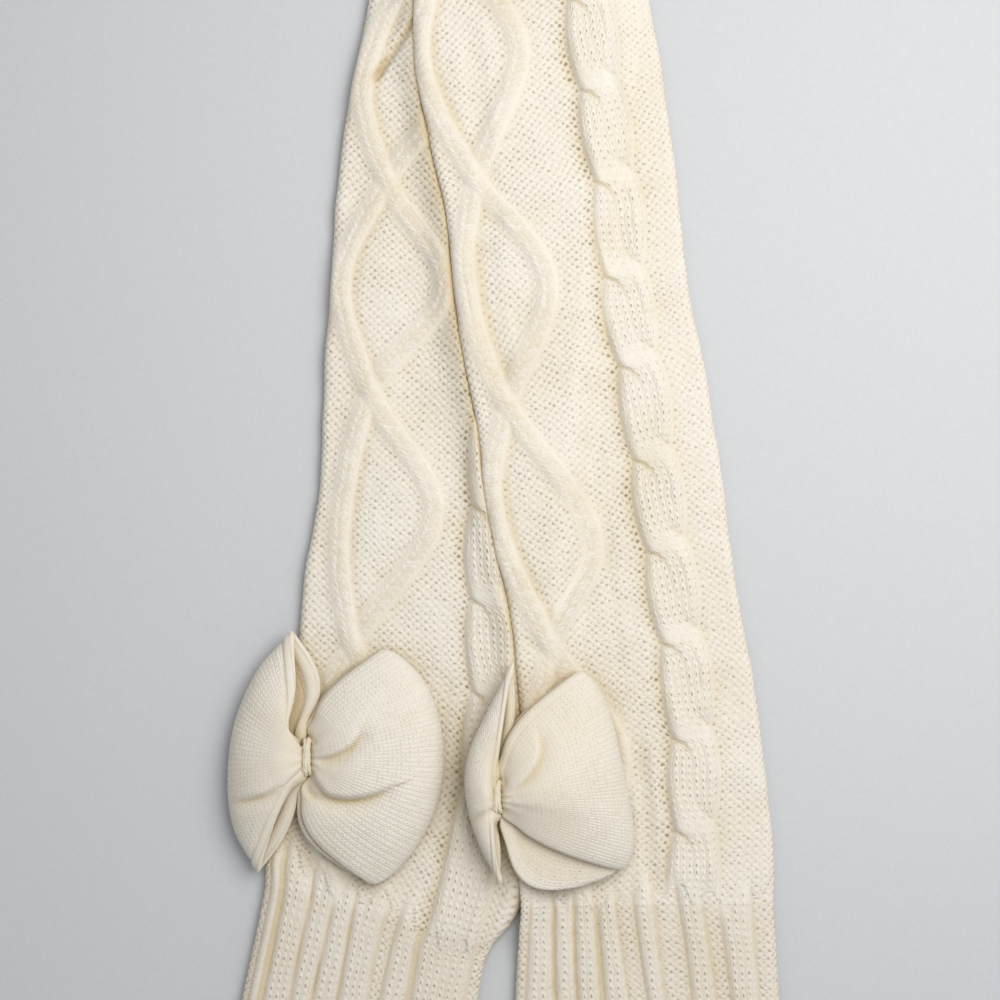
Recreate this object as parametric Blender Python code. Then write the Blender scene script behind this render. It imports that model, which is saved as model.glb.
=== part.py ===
"""A pair of cable-knit leg warmers laid flat, the right one lying over the inner side of the left one.

Tables and sizes are in millimetres. +Y runs up the legs from knee cuff to ankle cuff, +X to the right and
+Z up from the surface that they lie on. A place on a leg is given by the y of its section on the leg's
axis and by the distance across from that axis, measured along the front.
"""
import math
from collections import namedtuple
from dataclasses import dataclass

import bmesh
import bpy

MM = 0.001
COLLECTION = "pair_of_leg_warmers"

# Knitted walls
WALL = 3.0
HOLLOW = 1.0                      # between the two layers of a leg that lies flat
THICK = 2 * WALL + HOLLOW
FOLD = THICK / 2                  # radius of the fold at each side
SEAM = 0.3                        # between pieces that are joined

# Knitted relief on the fronts
STRAND_HEIGHT = 2.8               # diamond lattice, two stitches wide
STRAND_HALF = 5.6
STRAND_OVER = 0.8                 # how far the upper strand rises, and the lower one sinks, where they cross
CROSS_SPAN = 11.0
CABLE_HEIGHT = 3.6                # rope cable, four stitches over four
CABLE_OVER = 0.9
CABLE_SWING = 6.3
CABLE_HALF = 7.4
CABLE_REPEAT = 41.4               # twelve courses
RIB_HEIGHT = 2.0

# How the right leg lies over the left one
STACK_GAP = 0.4
EDGE_LIFT = 1.2                   # its edge rides on the relief below
LIFT_FADE = 14.0
DROP_OVER = 17.0                  # from the left leg's edge: how far out it comes down to the surface
PRESS_SPAN = 12.0                 # width over which relief is pressed flat under it

# Resolution of the walls
FRONT_POINTS = 27
UNDER_POINTS = 7                  # where a leg lies flat
STACKED_POINTS = 15               # where it comes down over the other one
LEG_ROWS = 58
LEG_INNER_ROWS = 12
CUFF_ROWS = 6
CUFF_INNER_ROWS = 2

# Bows: a fine-knit strip folded to a loop and pinched by a yarn wrap
GROOVE = 0.16                     # how far the gap between the two layers runs in from the strip's edges
RIM = 4.6                         # both layers at the outer fold
WRAP_WIDTH = 6.0
WRAP_YARN = 2.6
RAY_POINTS = 11
WRAP_STEPS = 20
WRAP_CORNERS = 6
LOOSE_FROM = 0.06                 # share of a wing's length that the wrap holds straight
BULGE_LEAN = 0.65                 # below 1, an edge swells near the wrap; above 1, near the outer fold
LIP_LEAN = 0.9
WING_ROWS = (0.0, 0.08, 0.18, 0.3, 0.43, 0.57, 0.7, 0.81, 0.9, 0.96, 1.0)

CREAM = (0.89, 0.85, 0.73)
CREAM_RIB = (0.87, 0.83, 0.70)
CREAM_FINE = (0.90, 0.86, 0.75)

Lie = namedtuple("Lie", "y axis half")                 # where a leg's axis runs, and half its flat width
Strand = namedtuple("Strand", "y across")              # a lattice strand's crossings and widest places
Cable = namedtuple("Cable", "y across")                # the middle of the rope cable
Trough = namedtuple("Trough", "y0 across0 y1 across1 half depth")
Rib = namedtuple("Rib", "inner outer")                 # a knit rib's two edges, as shares of the half width
# One line of a bow's wing, from the wrap to the outer fold
Ray = namedtuple("Ray", "x y bulge puff lip foot")


@dataclass
class Leg:
    """One leg as it lies: its course and width, the relief on its front and the ribs of its cuffs."""
    lie: tuple
    strands: tuple
    cable: tuple
    cable_crossing: float
    troughs: tuple
    knee_ribs: tuple
    knee_seam: float
    ankle_seam: float
    knee_end: float
    ankle_end: float


ANKLE_RIBS = tuple(Rib(-0.93 + 0.27 * k, -0.93 + 0.27 * k + 0.17) for k in range(7))

LEFT = Leg(
    lie=(
        Lie(-288, -73.6, 53.0), Lie(-250, -66.2, 52.5), Lie(-218.5, -60.2, 51.8), Lie(-207, -57.2, 53.0),
        Lie(-196, -54.2, 55.8), Lie(-182, -50.6, 56.9), Lie(-155, -45.1, 56.7), Lie(-110, -39.6, 56.2),
        Lie(-65, -35.4, 55.8), Lie(-20, -30.2, 54.0), Lie(25, -27.2, 54.9), Lie(70, -23.4, 55.6),
        Lie(115, -19.7, 56.5), Lie(160, -13.9, 55.6), Lie(205, -7.4, 52.9), Lie(236, -4.6, 47.7),
        Lie(294, -3.6, 46.8),
    ),
    strands=(
        (Strand(-199, -24.0), Strand(-144, -50.0), Strand(-88, -31.3), Strand(-26, -1.5),
         Strand(26.5, -33.8), Strand(75, -51.4), Strand(120.5, -34.6), Strand(173, -8.0),
         Strand(225, -35.3), Strand(237, -38.0)),
        (Strand(-199, -24.0), Strand(-144, -5.0), Strand(-88, -31.3), Strand(-37, -43.0),
         Strand(26.5, -33.8), Strand(76, -4.6), Strand(120.5, -34.6), Strand(160, -51.0),
         Strand(225, -35.3), Strand(237, -31.0)),
    ),
    cable=(Cable(-207, 35.0), Cable(-103, 33.0), Cable(-62, 28.5), Cable(-21, 24.5), Cable(236, 24.0)),
    cable_crossing=-62.0,
    troughs=(
        Trough(163, -46.0, 192, -31.0, 4.0, 1.4), Trough(-150, 8.0, -100, 13.0, 7.0, 0.9),
        Trough(10, -10.0, 110, -24.0, 12.0, 0.6),
    ),
    knee_ribs=(
        Rib(-0.99, -0.94), Rib(-0.87, -0.65), Rib(-0.62, -0.45), Rib(-0.42, -0.24), Rib(-0.20, 0.05),
        Rib(0.2, 0.39), Rib(0.46, 0.93),
    ),
    knee_seam=-207.0, ankle_seam=236.0, knee_end=-283.8, ankle_end=292.9,
)

RIGHT = Leg(
    lie=(
        Lie(-288, 64.7, 60.8), Lie(-245, 64.3, 59.6), Lie(-218.5, 64.3, 58.1), Lie(-202.5, 64.3, 57.1),
        Lie(-187, 63.9, 57.6), Lie(-155, 62.7, 56.2), Lie(-110, 59.8, 53.3), Lie(-65, 53.1, 51.5),
        Lie(-20, 45.9, 53.1), Lie(25, 39.1, 53.1), Lie(70, 30.6, 52.6), Lie(115, 25.6, 52.6),
        Lie(160, 17.9, 54.7), Lie(205, 12.1, 52.6), Lie(236, 9.8, 48.1), Lie(294, 8.5, 46.8),
    ),
    strands=(
        (Strand(-188.5, -30.7), Strand(-135, -50.0), Strand(-80, -35.2), Strand(-37, -9.1),
         Strand(29.5, -38.1), Strand(88, -46.7), Strand(130, -36.9), Strand(178, -9.5),
         Strand(205, -14.8), Strand(237, -34.5)),
        (Strand(-188.5, -30.7), Strand(-135, -10.0), Strand(-80, -35.2), Strand(-16, -51.2),
         Strand(29.5, -38.1), Strand(78, -10.7), Strand(130, -36.9), Strand(184, -53.0),
         Strand(230, -39.0), Strand(237, -36.5)),
    ),
    cable=(
        Cable(-202, 20.0), Cable(-156, 22.6), Cable(-69, 23.1), Cable(21, 23.6),
        Cable(112, 24.8), Cable(236, 24.8),
    ),
    cable_crossing=-3.7,
    troughs=(
        Trough(32, -40.0, 104, -33.0, 6.0, 0.9), Trough(104, -33.0, 195, -29.0, 7.0, 1.1),
        Trough(-200, 2.0, -128, -0.5, 5.0, 1.3), Trough(-95, -6.0, -20, -2.0, 4.0, 0.5),
    ),
    knee_ribs=(
        Rib(-0.97, -0.79), Rib(-0.74, -0.61), Rib(-0.57, -0.43), Rib(-0.37, -0.22), Rib(-0.03, 0.09),
        Rib(0.33, 0.50), Rib(0.66, 0.87),
    ),
    knee_seam=-202.5, ankle_seam=236.0, knee_end=-285.0, ankle_end=292.9,
)


@dataclass
class Bow:
    """One bow: the middle of its wrap, half the height it is pinched to, and its two wings."""
    x: float
    y: float
    z: float
    pinch: float
    pinch_height: float
    left_wing: tuple
    right_wing: tuple


LEFT_BOW = Bow(
    x=-88.4, y=-134.5, z=13.4, pinch=6.5, pinch_height=7.5,
    left_wing=(
        Ray(-8.4, 54.5, 0.7, 8.0, 10.0, 8.0), Ray(-23.5, 37.5, 0.0, 13.0, 0.0, 5.0),
        Ray(-33.6, 14.5, 0.0, 14.0, 0.0, 4.0), Ray(-36.8, -11.4, 0.0, 14.0, 0.0, 4.0),
        Ray(-34.0, -33.5, 0.0, 12.0, 0.0, 4.5), Ray(-23.7, -52.0, -2.6, 8.0, 6.0, 6.0),
    ),
    right_wing=(
        Ray(36.0, 51.5, 7.4, 9.0, 0.0, 11.0), Ray(53.0, 32.0, 2.0, 15.0, 0.0, 10.8),
        Ray(60.4, 8.5, 0.0, 17.0, 0.0, 10.8), Ray(59.2, -17.0, 0.0, 17.0, 0.0, 10.8),
        Ray(49.0, -40.5, -4.0, 14.0, 0.0, 10.8), Ray(30.4, -62.6, -13.5, 9.0, 2.0, 10.8),
    ),
)

RIGHT_BOW = Bow(
    x=-3.6, y=-151.6, z=19.8, pinch=5.5, pinch_height=7.5,
    left_wing=(
        Ray(6.0, 57.5, 0.2, 8.0, 4.2, 20.0), Ray(-4.6, 37.0, 0.5, 11.0, 0.0, 18.5),
        Ray(-12.6, 19.1, 0.0, 13.0, 0.0, 17.5), Ray(-14.4, 2.0, 0.0, 13.0, 0.0, 16.5),
        Ray(-9.4, -18.9, -1.0, 11.0, 0.0, 16.0), Ray(0.5, -38.8, -0.8, 8.0, 1.9, 16.0),
    ),
    right_wing=(
        Ray(38.9, 59.4, 9.5, 9.0, 0.0, 14.5), Ray(49.9, 39.4, 3.0, 15.0, 0.0, 12.0),
        Ray(55.6, 15.3, 1.0, 17.0, 0.0, 11.5), Ray(59.7, -3.9, 0.0, 16.0, 0.0, 11.5),
        Ray(61.6, -21.4, 0.0, 13.0, 0.0, 11.5), Ray(58.4, -37.0, -4.9, 9.0, 19.0, 11.5),
    ),
)

# Pleats that run out from the wrap: the line across the wing, -1 its upper edge and 1 its lower one,
# half the width, how far out, how deep
Pleat = namedtuple("Pleat", "line half reach depth")
PLEATS = (Pleat(-0.35, 0.2, 0.5, 3.0), Pleat(0.3, 0.22, 0.55, 3.2))


def smooth_step(t):
    """0 below 0, 1 above 1 and an even S between."""
    t = min(max(t, 0.0), 1.0)
    return t * t * (3.0 - 2.0 * t)


def bell(distance, half):
    """A rounded ridge's height, 1 on its line and 0 at half its width."""
    t = abs(distance) / half
    return math.cos(t * math.pi / 2) ** 1.3 if t < 1.0 else 0.0


def curve_value(keys, values, at):
    """Value on a smooth curve through all the points of a table."""
    at = min(max(at, keys[0]), keys[-1])
    last = len(keys) - 1
    i = next(k for k in range(last) if at <= keys[k + 1])

    def slope(k):
        low, high = max(k - 1, 0), min(k + 1, last)
        return (values[high] - values[low]) / (keys[high] - keys[low])

    span = keys[i + 1] - keys[i]
    t = (at - keys[i]) / span
    return ((2 * t**3 - 3 * t**2 + 1) * values[i] + (t**3 - 2 * t**2 + t) * span * slope(i)
            + (3 * t**2 - 2 * t**3) * values[i + 1] + (t**3 - t**2) * span * slope(i + 1))


def read(rows, column, y):
    """One column of a table of rows, smoothly between them."""
    return curve_value([row.y for row in rows], [getattr(row, column) for row in rows], y)


def lean(leg, y):
    """How far the leg's axis moves sideways for each millimetre up."""
    return (read(leg.lie, "axis", y + 1.0) - read(leg.lie, "axis", y - 1.0)) / 2.0


def on_surface(leg, y, across):
    """The x and y of a place on the leg."""
    tilt = lean(leg, y)
    length = math.hypot(1.0, tilt)
    return read(leg.lie, "axis", y) + across / length, y - across * tilt / length


def on_leg(leg, x, y):
    """The section and the distance across of a place given by x and y."""
    section = y
    for _ in range(4):
        tilt = lean(leg, section)
        aside = x - read(leg.lie, "axis", section)
        section += (aside * tilt + (y - section)) / (1.0 + tilt * tilt)
    tilt = lean(leg, section)
    aside = x - read(leg.lie, "axis", section)
    return section, (aside - (y - section) * tilt) / math.hypot(1.0, tilt)


def inside_right_edge(x, y):
    """How far a place lies inside the right leg's left edge."""
    section, across = on_leg(RIGHT, x, y)
    return across + read(RIGHT.lie, "half", section)


def stack_height(leg, x, y, across, half):
    """Height of the leg's underside: the right leg rises over the left one and its far side comes down."""
    if leg is LEFT:
        return 0.0
    section, left_across = on_leg(LEFT, x, y)
    beyond = left_across - read(LEFT.lie, "half", section)
    share = 1.0 - smooth_step(beyond / DROP_OVER)
    edge = EDGE_LIFT * (1.0 - smooth_step((across + half) / LIFT_FADE))
    return share * (THICK + STACK_GAP + edge)


def pressed(leg, x, y):
    """Share of the relief that is left: none where the right leg lies on it."""
    if leg is RIGHT:
        return 1.0
    return 1.0 - smooth_step(inside_right_edge(x, y) / PRESS_SPAN + 0.5)


def strand_relief(leg, y, across):
    """Two raised strands that wander from side to side; the one going down to the right lies on top."""
    places, distances = [], []
    for rows in leg.strands:
        here = read(rows, "across", y)
        turn = (read(rows, "across", y + 1.0) - read(rows, "across", y - 1.0)) / 2.0
        places.append(here)
        distances.append((across - here) / math.hypot(1.0, turn))
    crossing = bell(places[0] - places[1], CROSS_SPAN)
    first_goes_right_down = (read(leg.strands[0], "across", y - 1.0) > places[0])
    relief = 0.0
    for k, distance in enumerate(distances):
        on_top = first_goes_right_down == (k == 0)
        height = STRAND_HEIGHT + (STRAND_OVER if on_top else -STRAND_OVER) * crossing
        relief = max(relief, height * bell(distance, STRAND_HALF))
    return relief


def cable_relief(leg, y, across):
    """Rope cable: two thick strands that swap sides, always crossing over towards the right going down."""
    middle = read(leg.cable, "across", y)
    turn = math.pi * (leg.cable_crossing - y) / CABLE_REPEAT + math.pi / 2
    relief = 0.0
    for side in (-1.0, 1.0):
        place = middle + side * CABLE_SWING * math.cos(turn)
        height = CABLE_HEIGHT - side * CABLE_OVER * math.sin(turn)
        relief = max(relief, height * bell(across - place, CABLE_HALF))
    return relief


def trough_relief(leg, y, across):
    """The large soft hollows in the front."""
    depth = 0.0
    for trough in leg.troughs:
        t = (y - trough.y0) / (trough.y1 - trough.y0)
        line = trough.across0 + (trough.across1 - trough.across0) * min(max(t, 0.0), 1.0)
        ends = smooth_step(t / 0.25 + 0.5) * smooth_step((1.0 - t) / 0.25 + 0.5)
        depth += trough.depth * ends * bell(across - line, trough.half)
    return -depth


def leg_relief(leg, y, across):
    """Everything knitted on the front of a leg, and its soft hollows."""
    return max(strand_relief(leg, y, across), cable_relief(leg, y, across)) + trough_relief(leg, y, across)


def rib_relief(ribs, share):
    """Rounded knit ribs between narrow purl grooves."""
    for rib in ribs:
        middle, half = (rib.inner + rib.outer) / 2, (rib.outer - rib.inner) / 2
        if abs(share - middle) <= half + 1e-6:
            return RIB_HEIGHT * (1.0 - 0.45 * ((share - middle) / half) ** 2)
    return 0.0


def even_shares(count):
    """Places across a front, from its right edge to its left."""
    return [1.0 - 2.0 * k / (count - 1) for k in range(count)]


def rib_shares(ribs):
    """Places across a ribbed front: three on each rib and one in each groove, from right to left."""
    shares = {-1.0, 1.0}
    for rib, following in zip(ribs, ribs[1:] + (None,)):
        shares.update((rib.inner, (rib.inner + rib.outer) / 2, rib.outer))
        if following:
            shares.add((rib.outer + following.inner) / 2)
    if len(shares) % 2 == 0:
        shares.add((1.0 + max(rib.outer for rib in ribs)) / 2)
    return sorted(shares, reverse=True)


def section_stops(under_points, front_shares):
    """The places around a flattened tube: along the underside, up the right fold, back on the front, down."""
    under = [("under", -1.0 + 2.0 * k / (under_points - 1)) for k in range(under_points)]
    right = [("right", math.radians(a)) for a in (45, 90, 135)]
    front = [("front", share) for share in front_shares]
    left = [("left", math.radians(a)) for a in (135, 90, 45)]
    return under + right + front + left


def section_point(stop, half, low, high):
    """Across, height and outward direction of one place around a flattened tube between two heights."""
    kind, value = stop
    radius = (high - low) / 2
    flat = half - radius
    if kind == "under":
        return flat * value, low, 0.0, -1.0
    if kind == "front":
        return flat * value, high, 0.0, 1.0
    side = 1.0 if kind == "right" else -1.0
    out, up = math.sin(value), -math.cos(value)
    return side * (flat + radius * out), low + radius * (1.0 + up), side * out, up


def relief_share(stop):
    """Relief is full on the front and fades out round the folds."""
    kind, value = stop
    if kind == "under":
        return 0.0
    if kind == "front":
        return 1.0
    return smooth_step((value - math.radians(45)) / math.radians(90))


def tube_ring(mesh, leg, y, stops, relief):
    """One ring of points around a leg's outer face, with the front's relief moved out along the surface."""
    half = read(leg.lie, "half", y)
    ring = []
    for stop in stops:
        across, height, out, up = section_point(stop, half, 0.0, THICK)
        x, world_y = on_surface(leg, y, across)
        raised = relief_share(stop) * relief(y, across, half)
        if raised > 0.0:
            raised *= pressed(leg, x, world_y)
        x, world_y = on_surface(leg, y, across + raised * out)
        height += raised * up + stack_height(leg, x, world_y, across, half)
        ring.append(mesh.verts.new((x * MM, world_y * MM, height * MM)))
    return ring


def inner_ring(mesh, leg, y, stops):
    """One ring of points around a leg's plain inner face: one for every two of the outer face."""
    half = read(leg.lie, "half", y)
    ring = []
    for stop in stops[::2]:
        across, height, _, _ = section_point(stop, half - WALL, WALL, WALL + HOLLOW)
        x, world_y = on_surface(leg, y, across)
        height += stack_height(leg, x, world_y, across, half)
        ring.append(mesh.verts.new((x * MM, world_y * MM, height * MM)))
    return ring


def skin(mesh, rings):
    """Faces between rings of equal length."""
    for low, high in zip(rings, rings[1:]):
        for k in range(len(low)):
            n = (k + 1) % len(low)
            mesh.faces.new((low[k], low[n], high[n], high[k]))


def rim(mesh, outer, inner):
    """The edge of the cloth at an open end: an outer ring and an inner ring with half its points."""
    count = len(inner)
    for k in range(count):
        a, b, c = outer[2 * k], outer[2 * k + 1], outer[(2 * k + 2) % len(outer)]
        mesh.faces.new((a, b, inner[k]))
        mesh.faces.new((b, c, inner[(k + 1) % count], inner[k]))


def steps(start, end, count):
    """Evenly spaced values from start to end."""
    return [start + (end - start) * k / (count - 1) for k in range(count)]


def knitted(name, colour, roughness=0.95):
    """Material of one knitted piece."""
    material = bpy.data.materials.new(name)
    material.use_nodes = True
    shader = material.node_tree.nodes["Principled BSDF"]
    shader.inputs["Base Color"].default_value = (*colour, 1.0)
    shader.inputs["Roughness"].default_value = roughness
    shader.inputs["Metallic"].default_value = 0.0
    return material


def finish_piece(mesh, name, colour, collection):
    """Turn the built faces outwards and keep them as a named object."""
    bmesh.ops.recalc_face_normals(mesh, faces=mesh.faces)
    data = bpy.data.meshes.new(name)
    mesh.to_mesh(data)
    mesh.free()
    data.shade_smooth()
    data.materials.append(knitted(name + "_knit", colour))
    piece = bpy.data.objects.new(name, data)
    collection.objects.link(piece)
    return piece


def tube(name, leg, start, end, rows, inner_rows, front_shares, relief, colour, collection):
    """A flattened knitted tube between two sections of a leg, open at both ends."""
    mesh = bmesh.new()
    stops = section_stops(STACKED_POINTS if leg is RIGHT else UNDER_POINTS, front_shares)
    outer = [tube_ring(mesh, leg, y, stops, relief) for y in steps(start, end, rows)]
    inner = [inner_ring(mesh, leg, y, stops) for y in steps(start, end, inner_rows)]
    skin(mesh, outer)
    skin(mesh, inner)
    rim(mesh, outer[0], inner[0])
    rim(mesh, outer[-1], inner[-1])
    return finish_piece(mesh, name, colour, collection)


def build_leg(side, leg, collection):
    """The main tube and its two ribbed cuffs."""
    def front(y, across, _half):
        return leg_relief(leg, y, across)

    def knee(_y, across, half):
        return rib_relief(leg.knee_ribs, across / (half - FOLD))

    def ankle(_y, across, half):
        return rib_relief(ANKLE_RIBS, across / (half - FOLD))

    tube(side + "_leg", leg, leg.knee_seam + SEAM / 2, leg.ankle_seam - SEAM / 2, LEG_ROWS, LEG_INNER_ROWS,
         even_shares(FRONT_POINTS), front, CREAM, collection)
    tube(side + "_knee_cuff", leg, leg.knee_end, leg.knee_seam - SEAM / 2, CUFF_ROWS, CUFF_INNER_ROWS,
         rib_shares(leg.knee_ribs), knee, CREAM_RIB, collection)
    tube(side + "_ankle_cuff", leg, leg.ankle_seam + SEAM / 2, leg.ankle_end, CUFF_ROWS, CUFF_INNER_ROWS,
         rib_shares(ANKLE_RIBS), ankle, CREAM_RIB, collection)


def ray_row(rays, line):
    """A wing's ray at a place across the strip, -1 at its upper edge and 1 at its lower."""
    keys = [-1.0 + 2.0 * k / (len(rays) - 1) for k in range(len(rays))]
    return Ray(*(curve_value(keys, column, line) for column in zip(*rays)))


def pleat_depth(line, out):
    """Hollow of the pleats at a place on a wing, deepest at the wrap."""
    depth = 0.0
    for pleat in PLEATS:
        depth += pleat.depth * bell(line - pleat.line, pleat.half) * (1.0 - smooth_step(out / pleat.reach))
    return depth


def wing_point(bow, rays, side, line, out, layer):
    """A place on a wing: across the strip, out from the wrap, and 0 on the underside to 1 on the top."""
    ray = ray_row(rays, line)
    start_x, start_y = side * (WRAP_WIDTH / 2 - 0.5), -line * bow.pinch
    dx, dy = ray.x - start_x, ray.y - start_y
    length = math.hypot(dx, dy)
    beyond = max(out - LOOSE_FROM, 0.0) / (1.0 - LOOSE_FROM)
    aside = ray.bulge * math.sin(math.pi * beyond**BULGE_LEAN)
    aside += ray.lip * math.sin(math.pi * beyond**LIP_LEAN) * (1.0 - layer) * math.copysign(1.0, -line * side)
    x = start_x + dx * out - dy / length * aside
    y = start_y + dy * out + dx / length * aside
    full = bow.pinch_height + (ray.puff - bow.pinch_height) * math.sin(math.pi / 2 * min(out / 0.45, 1.0))
    closing = math.sqrt(max(1.0 - out**4, 0.0))
    height = RIM * (1.0 - 0.5 * out**12) + (full - RIM) * closing
    rounding = 0.6 * line**4 * height * (1.0 - smooth_step(out / 0.3))
    low = bow.z + (ray.foot - bow.z) * out**1.8 + rounding / 2
    height -= rounding + pleat_depth(line, out)
    return bow.x + x, bow.y + y, low + height * layer


def wing_section(mesh, bow, rays, side, out):
    """A closed loop across a wing: its top, the gap between the layers, its underside and the other gap."""
    def vert(line, layer):
        return mesh.verts.new([value * MM for value in wing_point(bow, rays, side, line, out, layer)])

    lines = steps(-1.0, 1.0, RAY_POINTS)
    depth = GROOVE * math.sin(math.pi * min(max(out, 0.02), 0.98)) ** 0.5 if 0.0 < out < 1.0 else 0.0
    loop = [vert(line, 1.0) for line in lines]
    loop += [vert(1.0, 0.66), vert(1.0 - depth, 0.5), vert(1.0, 0.34)]
    loop += [vert(line, 0.0) for line in reversed(lines)]
    loop += [vert(-1.0, 0.34), vert(-1.0 + depth, 0.5), vert(-1.0, 0.66)]
    return loop


def close_fold(mesh, loop):
    """Faces that close a wing at its outer fold, between its top and its underside."""
    count = RAY_POINTS
    top = loop[:count]
    under = list(reversed(loop[count + 3:2 * count + 3]))
    for k in range(count - 1):
        mesh.faces.new((top[k], top[k + 1], under[k + 1], under[k]))
    mesh.faces.new((top[-1], *loop[count:count + 3], under[-1]))
    mesh.faces.new((under[0], *loop[2 * count + 3:], top[0]))


def build_bow(side, bow, collection):
    """The folded strip, in one solid with a gap between its layers, and the yarn wrap round its waist."""
    mesh = bmesh.new()
    loops = [wing_section(mesh, bow, bow.left_wing, -1.0, out) for out in reversed(WING_ROWS)]
    loops += [wing_section(mesh, bow, bow.right_wing, 1.0, out) for out in WING_ROWS]
    skin(mesh, loops)
    close_fold(mesh, loops[0])
    close_fold(mesh, loops[-1])
    finish_piece(mesh, side + "_bow", CREAM_FINE, collection)

    mesh = bmesh.new()
    rings = []
    for k in range(WRAP_STEPS):
        turn = 2 * math.pi * k / WRAP_STEPS
        ring = []
        for j in range(WRAP_CORNERS):
            corner = 2 * math.pi * j / WRAP_CORNERS
            stand = SEAM + WRAP_YARN / 2 * (1.0 + math.cos(corner))
            ring.append(mesh.verts.new((
                (bow.x + (WRAP_WIDTH / 2 - 1.0) * math.sin(corner)) * MM,
                (bow.y + (bow.pinch + stand) * superellipse(turn)[0]) * MM,
                (bow.z + bow.pinch_height / 2 + (bow.pinch_height / 2 + stand) * superellipse(turn)[1]) * MM,
            )))
        rings.append(ring)
    skin(mesh, rings + rings[:1])
    finish_piece(mesh, side + "_bow_wrap", CREAM_FINE, collection)


def superellipse(turn, squareness=0.55):
    """A rounded square loop of half size 1."""
    c, s = math.cos(turn), math.sin(turn)
    return math.copysign(abs(c) ** squareness, c), math.copysign(abs(s) ** squareness, s)


def main():
    for old in list(bpy.data.objects):
        bpy.data.objects.remove(old, do_unlink=True)
    collection = bpy.data.collections.new(COLLECTION)
    bpy.context.scene.collection.children.link(collection)
    build_leg("left", LEFT, collection)
    build_leg("right", RIGHT, collection)
    build_bow("left", LEFT_BOW, collection)
    build_bow("right", RIGHT_BOW, collection)


main()
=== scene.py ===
"""Dresses the pair of cable-knit leg warmers: wool legs and cuffs, fine-knit bows and their yarn wraps.

Tables are in millimetres. A place on a leg is given by the y of its section on the leg's axis and by the
distance across from that axis, measured along the cloth. Cloth is built as closed shells: grids of points
that run round a tube or a strip and join up both ways.
"""

import math
from collections import namedtuple
from functools import partial

import bpy
import numpy as np
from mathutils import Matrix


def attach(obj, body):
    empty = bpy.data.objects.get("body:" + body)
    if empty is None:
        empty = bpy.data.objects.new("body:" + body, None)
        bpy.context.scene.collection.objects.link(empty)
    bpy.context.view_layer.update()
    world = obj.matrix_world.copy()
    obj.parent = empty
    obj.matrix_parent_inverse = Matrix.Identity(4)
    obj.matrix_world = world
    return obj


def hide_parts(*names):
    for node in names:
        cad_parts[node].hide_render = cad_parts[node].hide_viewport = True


bl_info = {
    "name": "Cable-Knit Leg Warmers",
    "version": (1, 0, 0),
    "blender": (4, 5, 0),
    "location": "3D View > Sidebar > Leg Warmers",
    "description": "Knits a pair of leg warmers with bows round their packed solids and sets them on a table",
    "category": "Object",
}

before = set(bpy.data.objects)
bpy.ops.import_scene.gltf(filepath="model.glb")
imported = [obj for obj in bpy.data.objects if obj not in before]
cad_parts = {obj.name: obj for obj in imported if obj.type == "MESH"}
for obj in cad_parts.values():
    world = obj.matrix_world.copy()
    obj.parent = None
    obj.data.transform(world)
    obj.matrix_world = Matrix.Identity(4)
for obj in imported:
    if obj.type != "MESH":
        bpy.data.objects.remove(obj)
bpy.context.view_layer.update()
MM = 0.001
TAU = 2 * math.pi

# Knitted walls, as in the solids
WALL = 3.0
HOLLOW = 1.0
THICK = 2 * WALL + HOLLOW
FOLD = THICK / 2
STACK_GAP = 0.4  # between the legs where one lies on the other
SEAM = 0.02  # half of the hairline between two parts of a leg
SEAM_ROUND = 0.015  # how far a seam's last row stands out
RIM_ROUND = 1.6  # how far an open end's rim stands out
EDGE_LIFT = 1.2  # how much higher the upper leg's edge stands
LIFT_FADE = 14.0  # and the width over which that fades
DROP_OVER = 17.0  # width over which the upper leg comes down to the table
PRESS_SPAN = 12.0  # width over which the lower leg's relief is pressed flat

# Knitted relief on the fronts
STRAND_HALF = 7.4  # half of a lattice strand and the cloth that it pulls up
STRAND_STITCHES = 4.3  # half of its two knit stitches
DIAMOND_PUFF = 1.3  # how far the cloth puffs up inside a diamond
CROSS_SPAN = 11.0  # the strands are this near each other where they cross
STRAND_WALE = 4.2  # width of one knit stitch of a strand
DIAMOND = 36.0  # a diamond as wide as this puffs up in full
CABLE_HALF = 12.2  # half of the rope's eight wales
CABLE_REPEAT = 41.4  # from one crossing to the next, 12 courses
CABLE_LEAD = 4.0  # how far above the left notch the crossing strand meets the right side
CABLE_CURVE = 3.3  # how fast the strands' edges swing back to the middle
CABLE_NOTCH = 3.0  # how far the sides are drawn in where the strands cross
CROSS_FADE = 4.5  # how fast a crossing's crease fades along it
CABLE_CLEAR = 24.0  # the last crossing is this far above the knee seam
RIB_START = 5.0  # how far above the knee seam the ribs begin
RIB_BLEND = 20.0  # length over which they grow out of the leg's pattern
RIB_READ = 24.0  # how far below the knee seam their widths are read from the photo
WALE = 3.9  # width of one column of the purl ground
FRONT_WALES = 27  # columns of the purl ground across the front
SCALLOP = 0.185  # how far a purl row swings, as a share of a course
HEAP = 6.4  # how far the left leg's cloth is pushed up by the right leg's edge

# Bows and the strip that they are folded from
LOOSE_FROM = 0.06  # share of a wing's length that the wrap holds straight
WAIST = 1.3  # half of a bow's waist between its wings
WING_EDGE = 4.6  # height of a bow's outer fold
SELVEDGE = 3.2  # reach of the strip's rolled edges
STRIP_THICK = 2.2
STRIP_WALE = 2.2  # width of one stitch of the bows' strip where it is spread out

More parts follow.
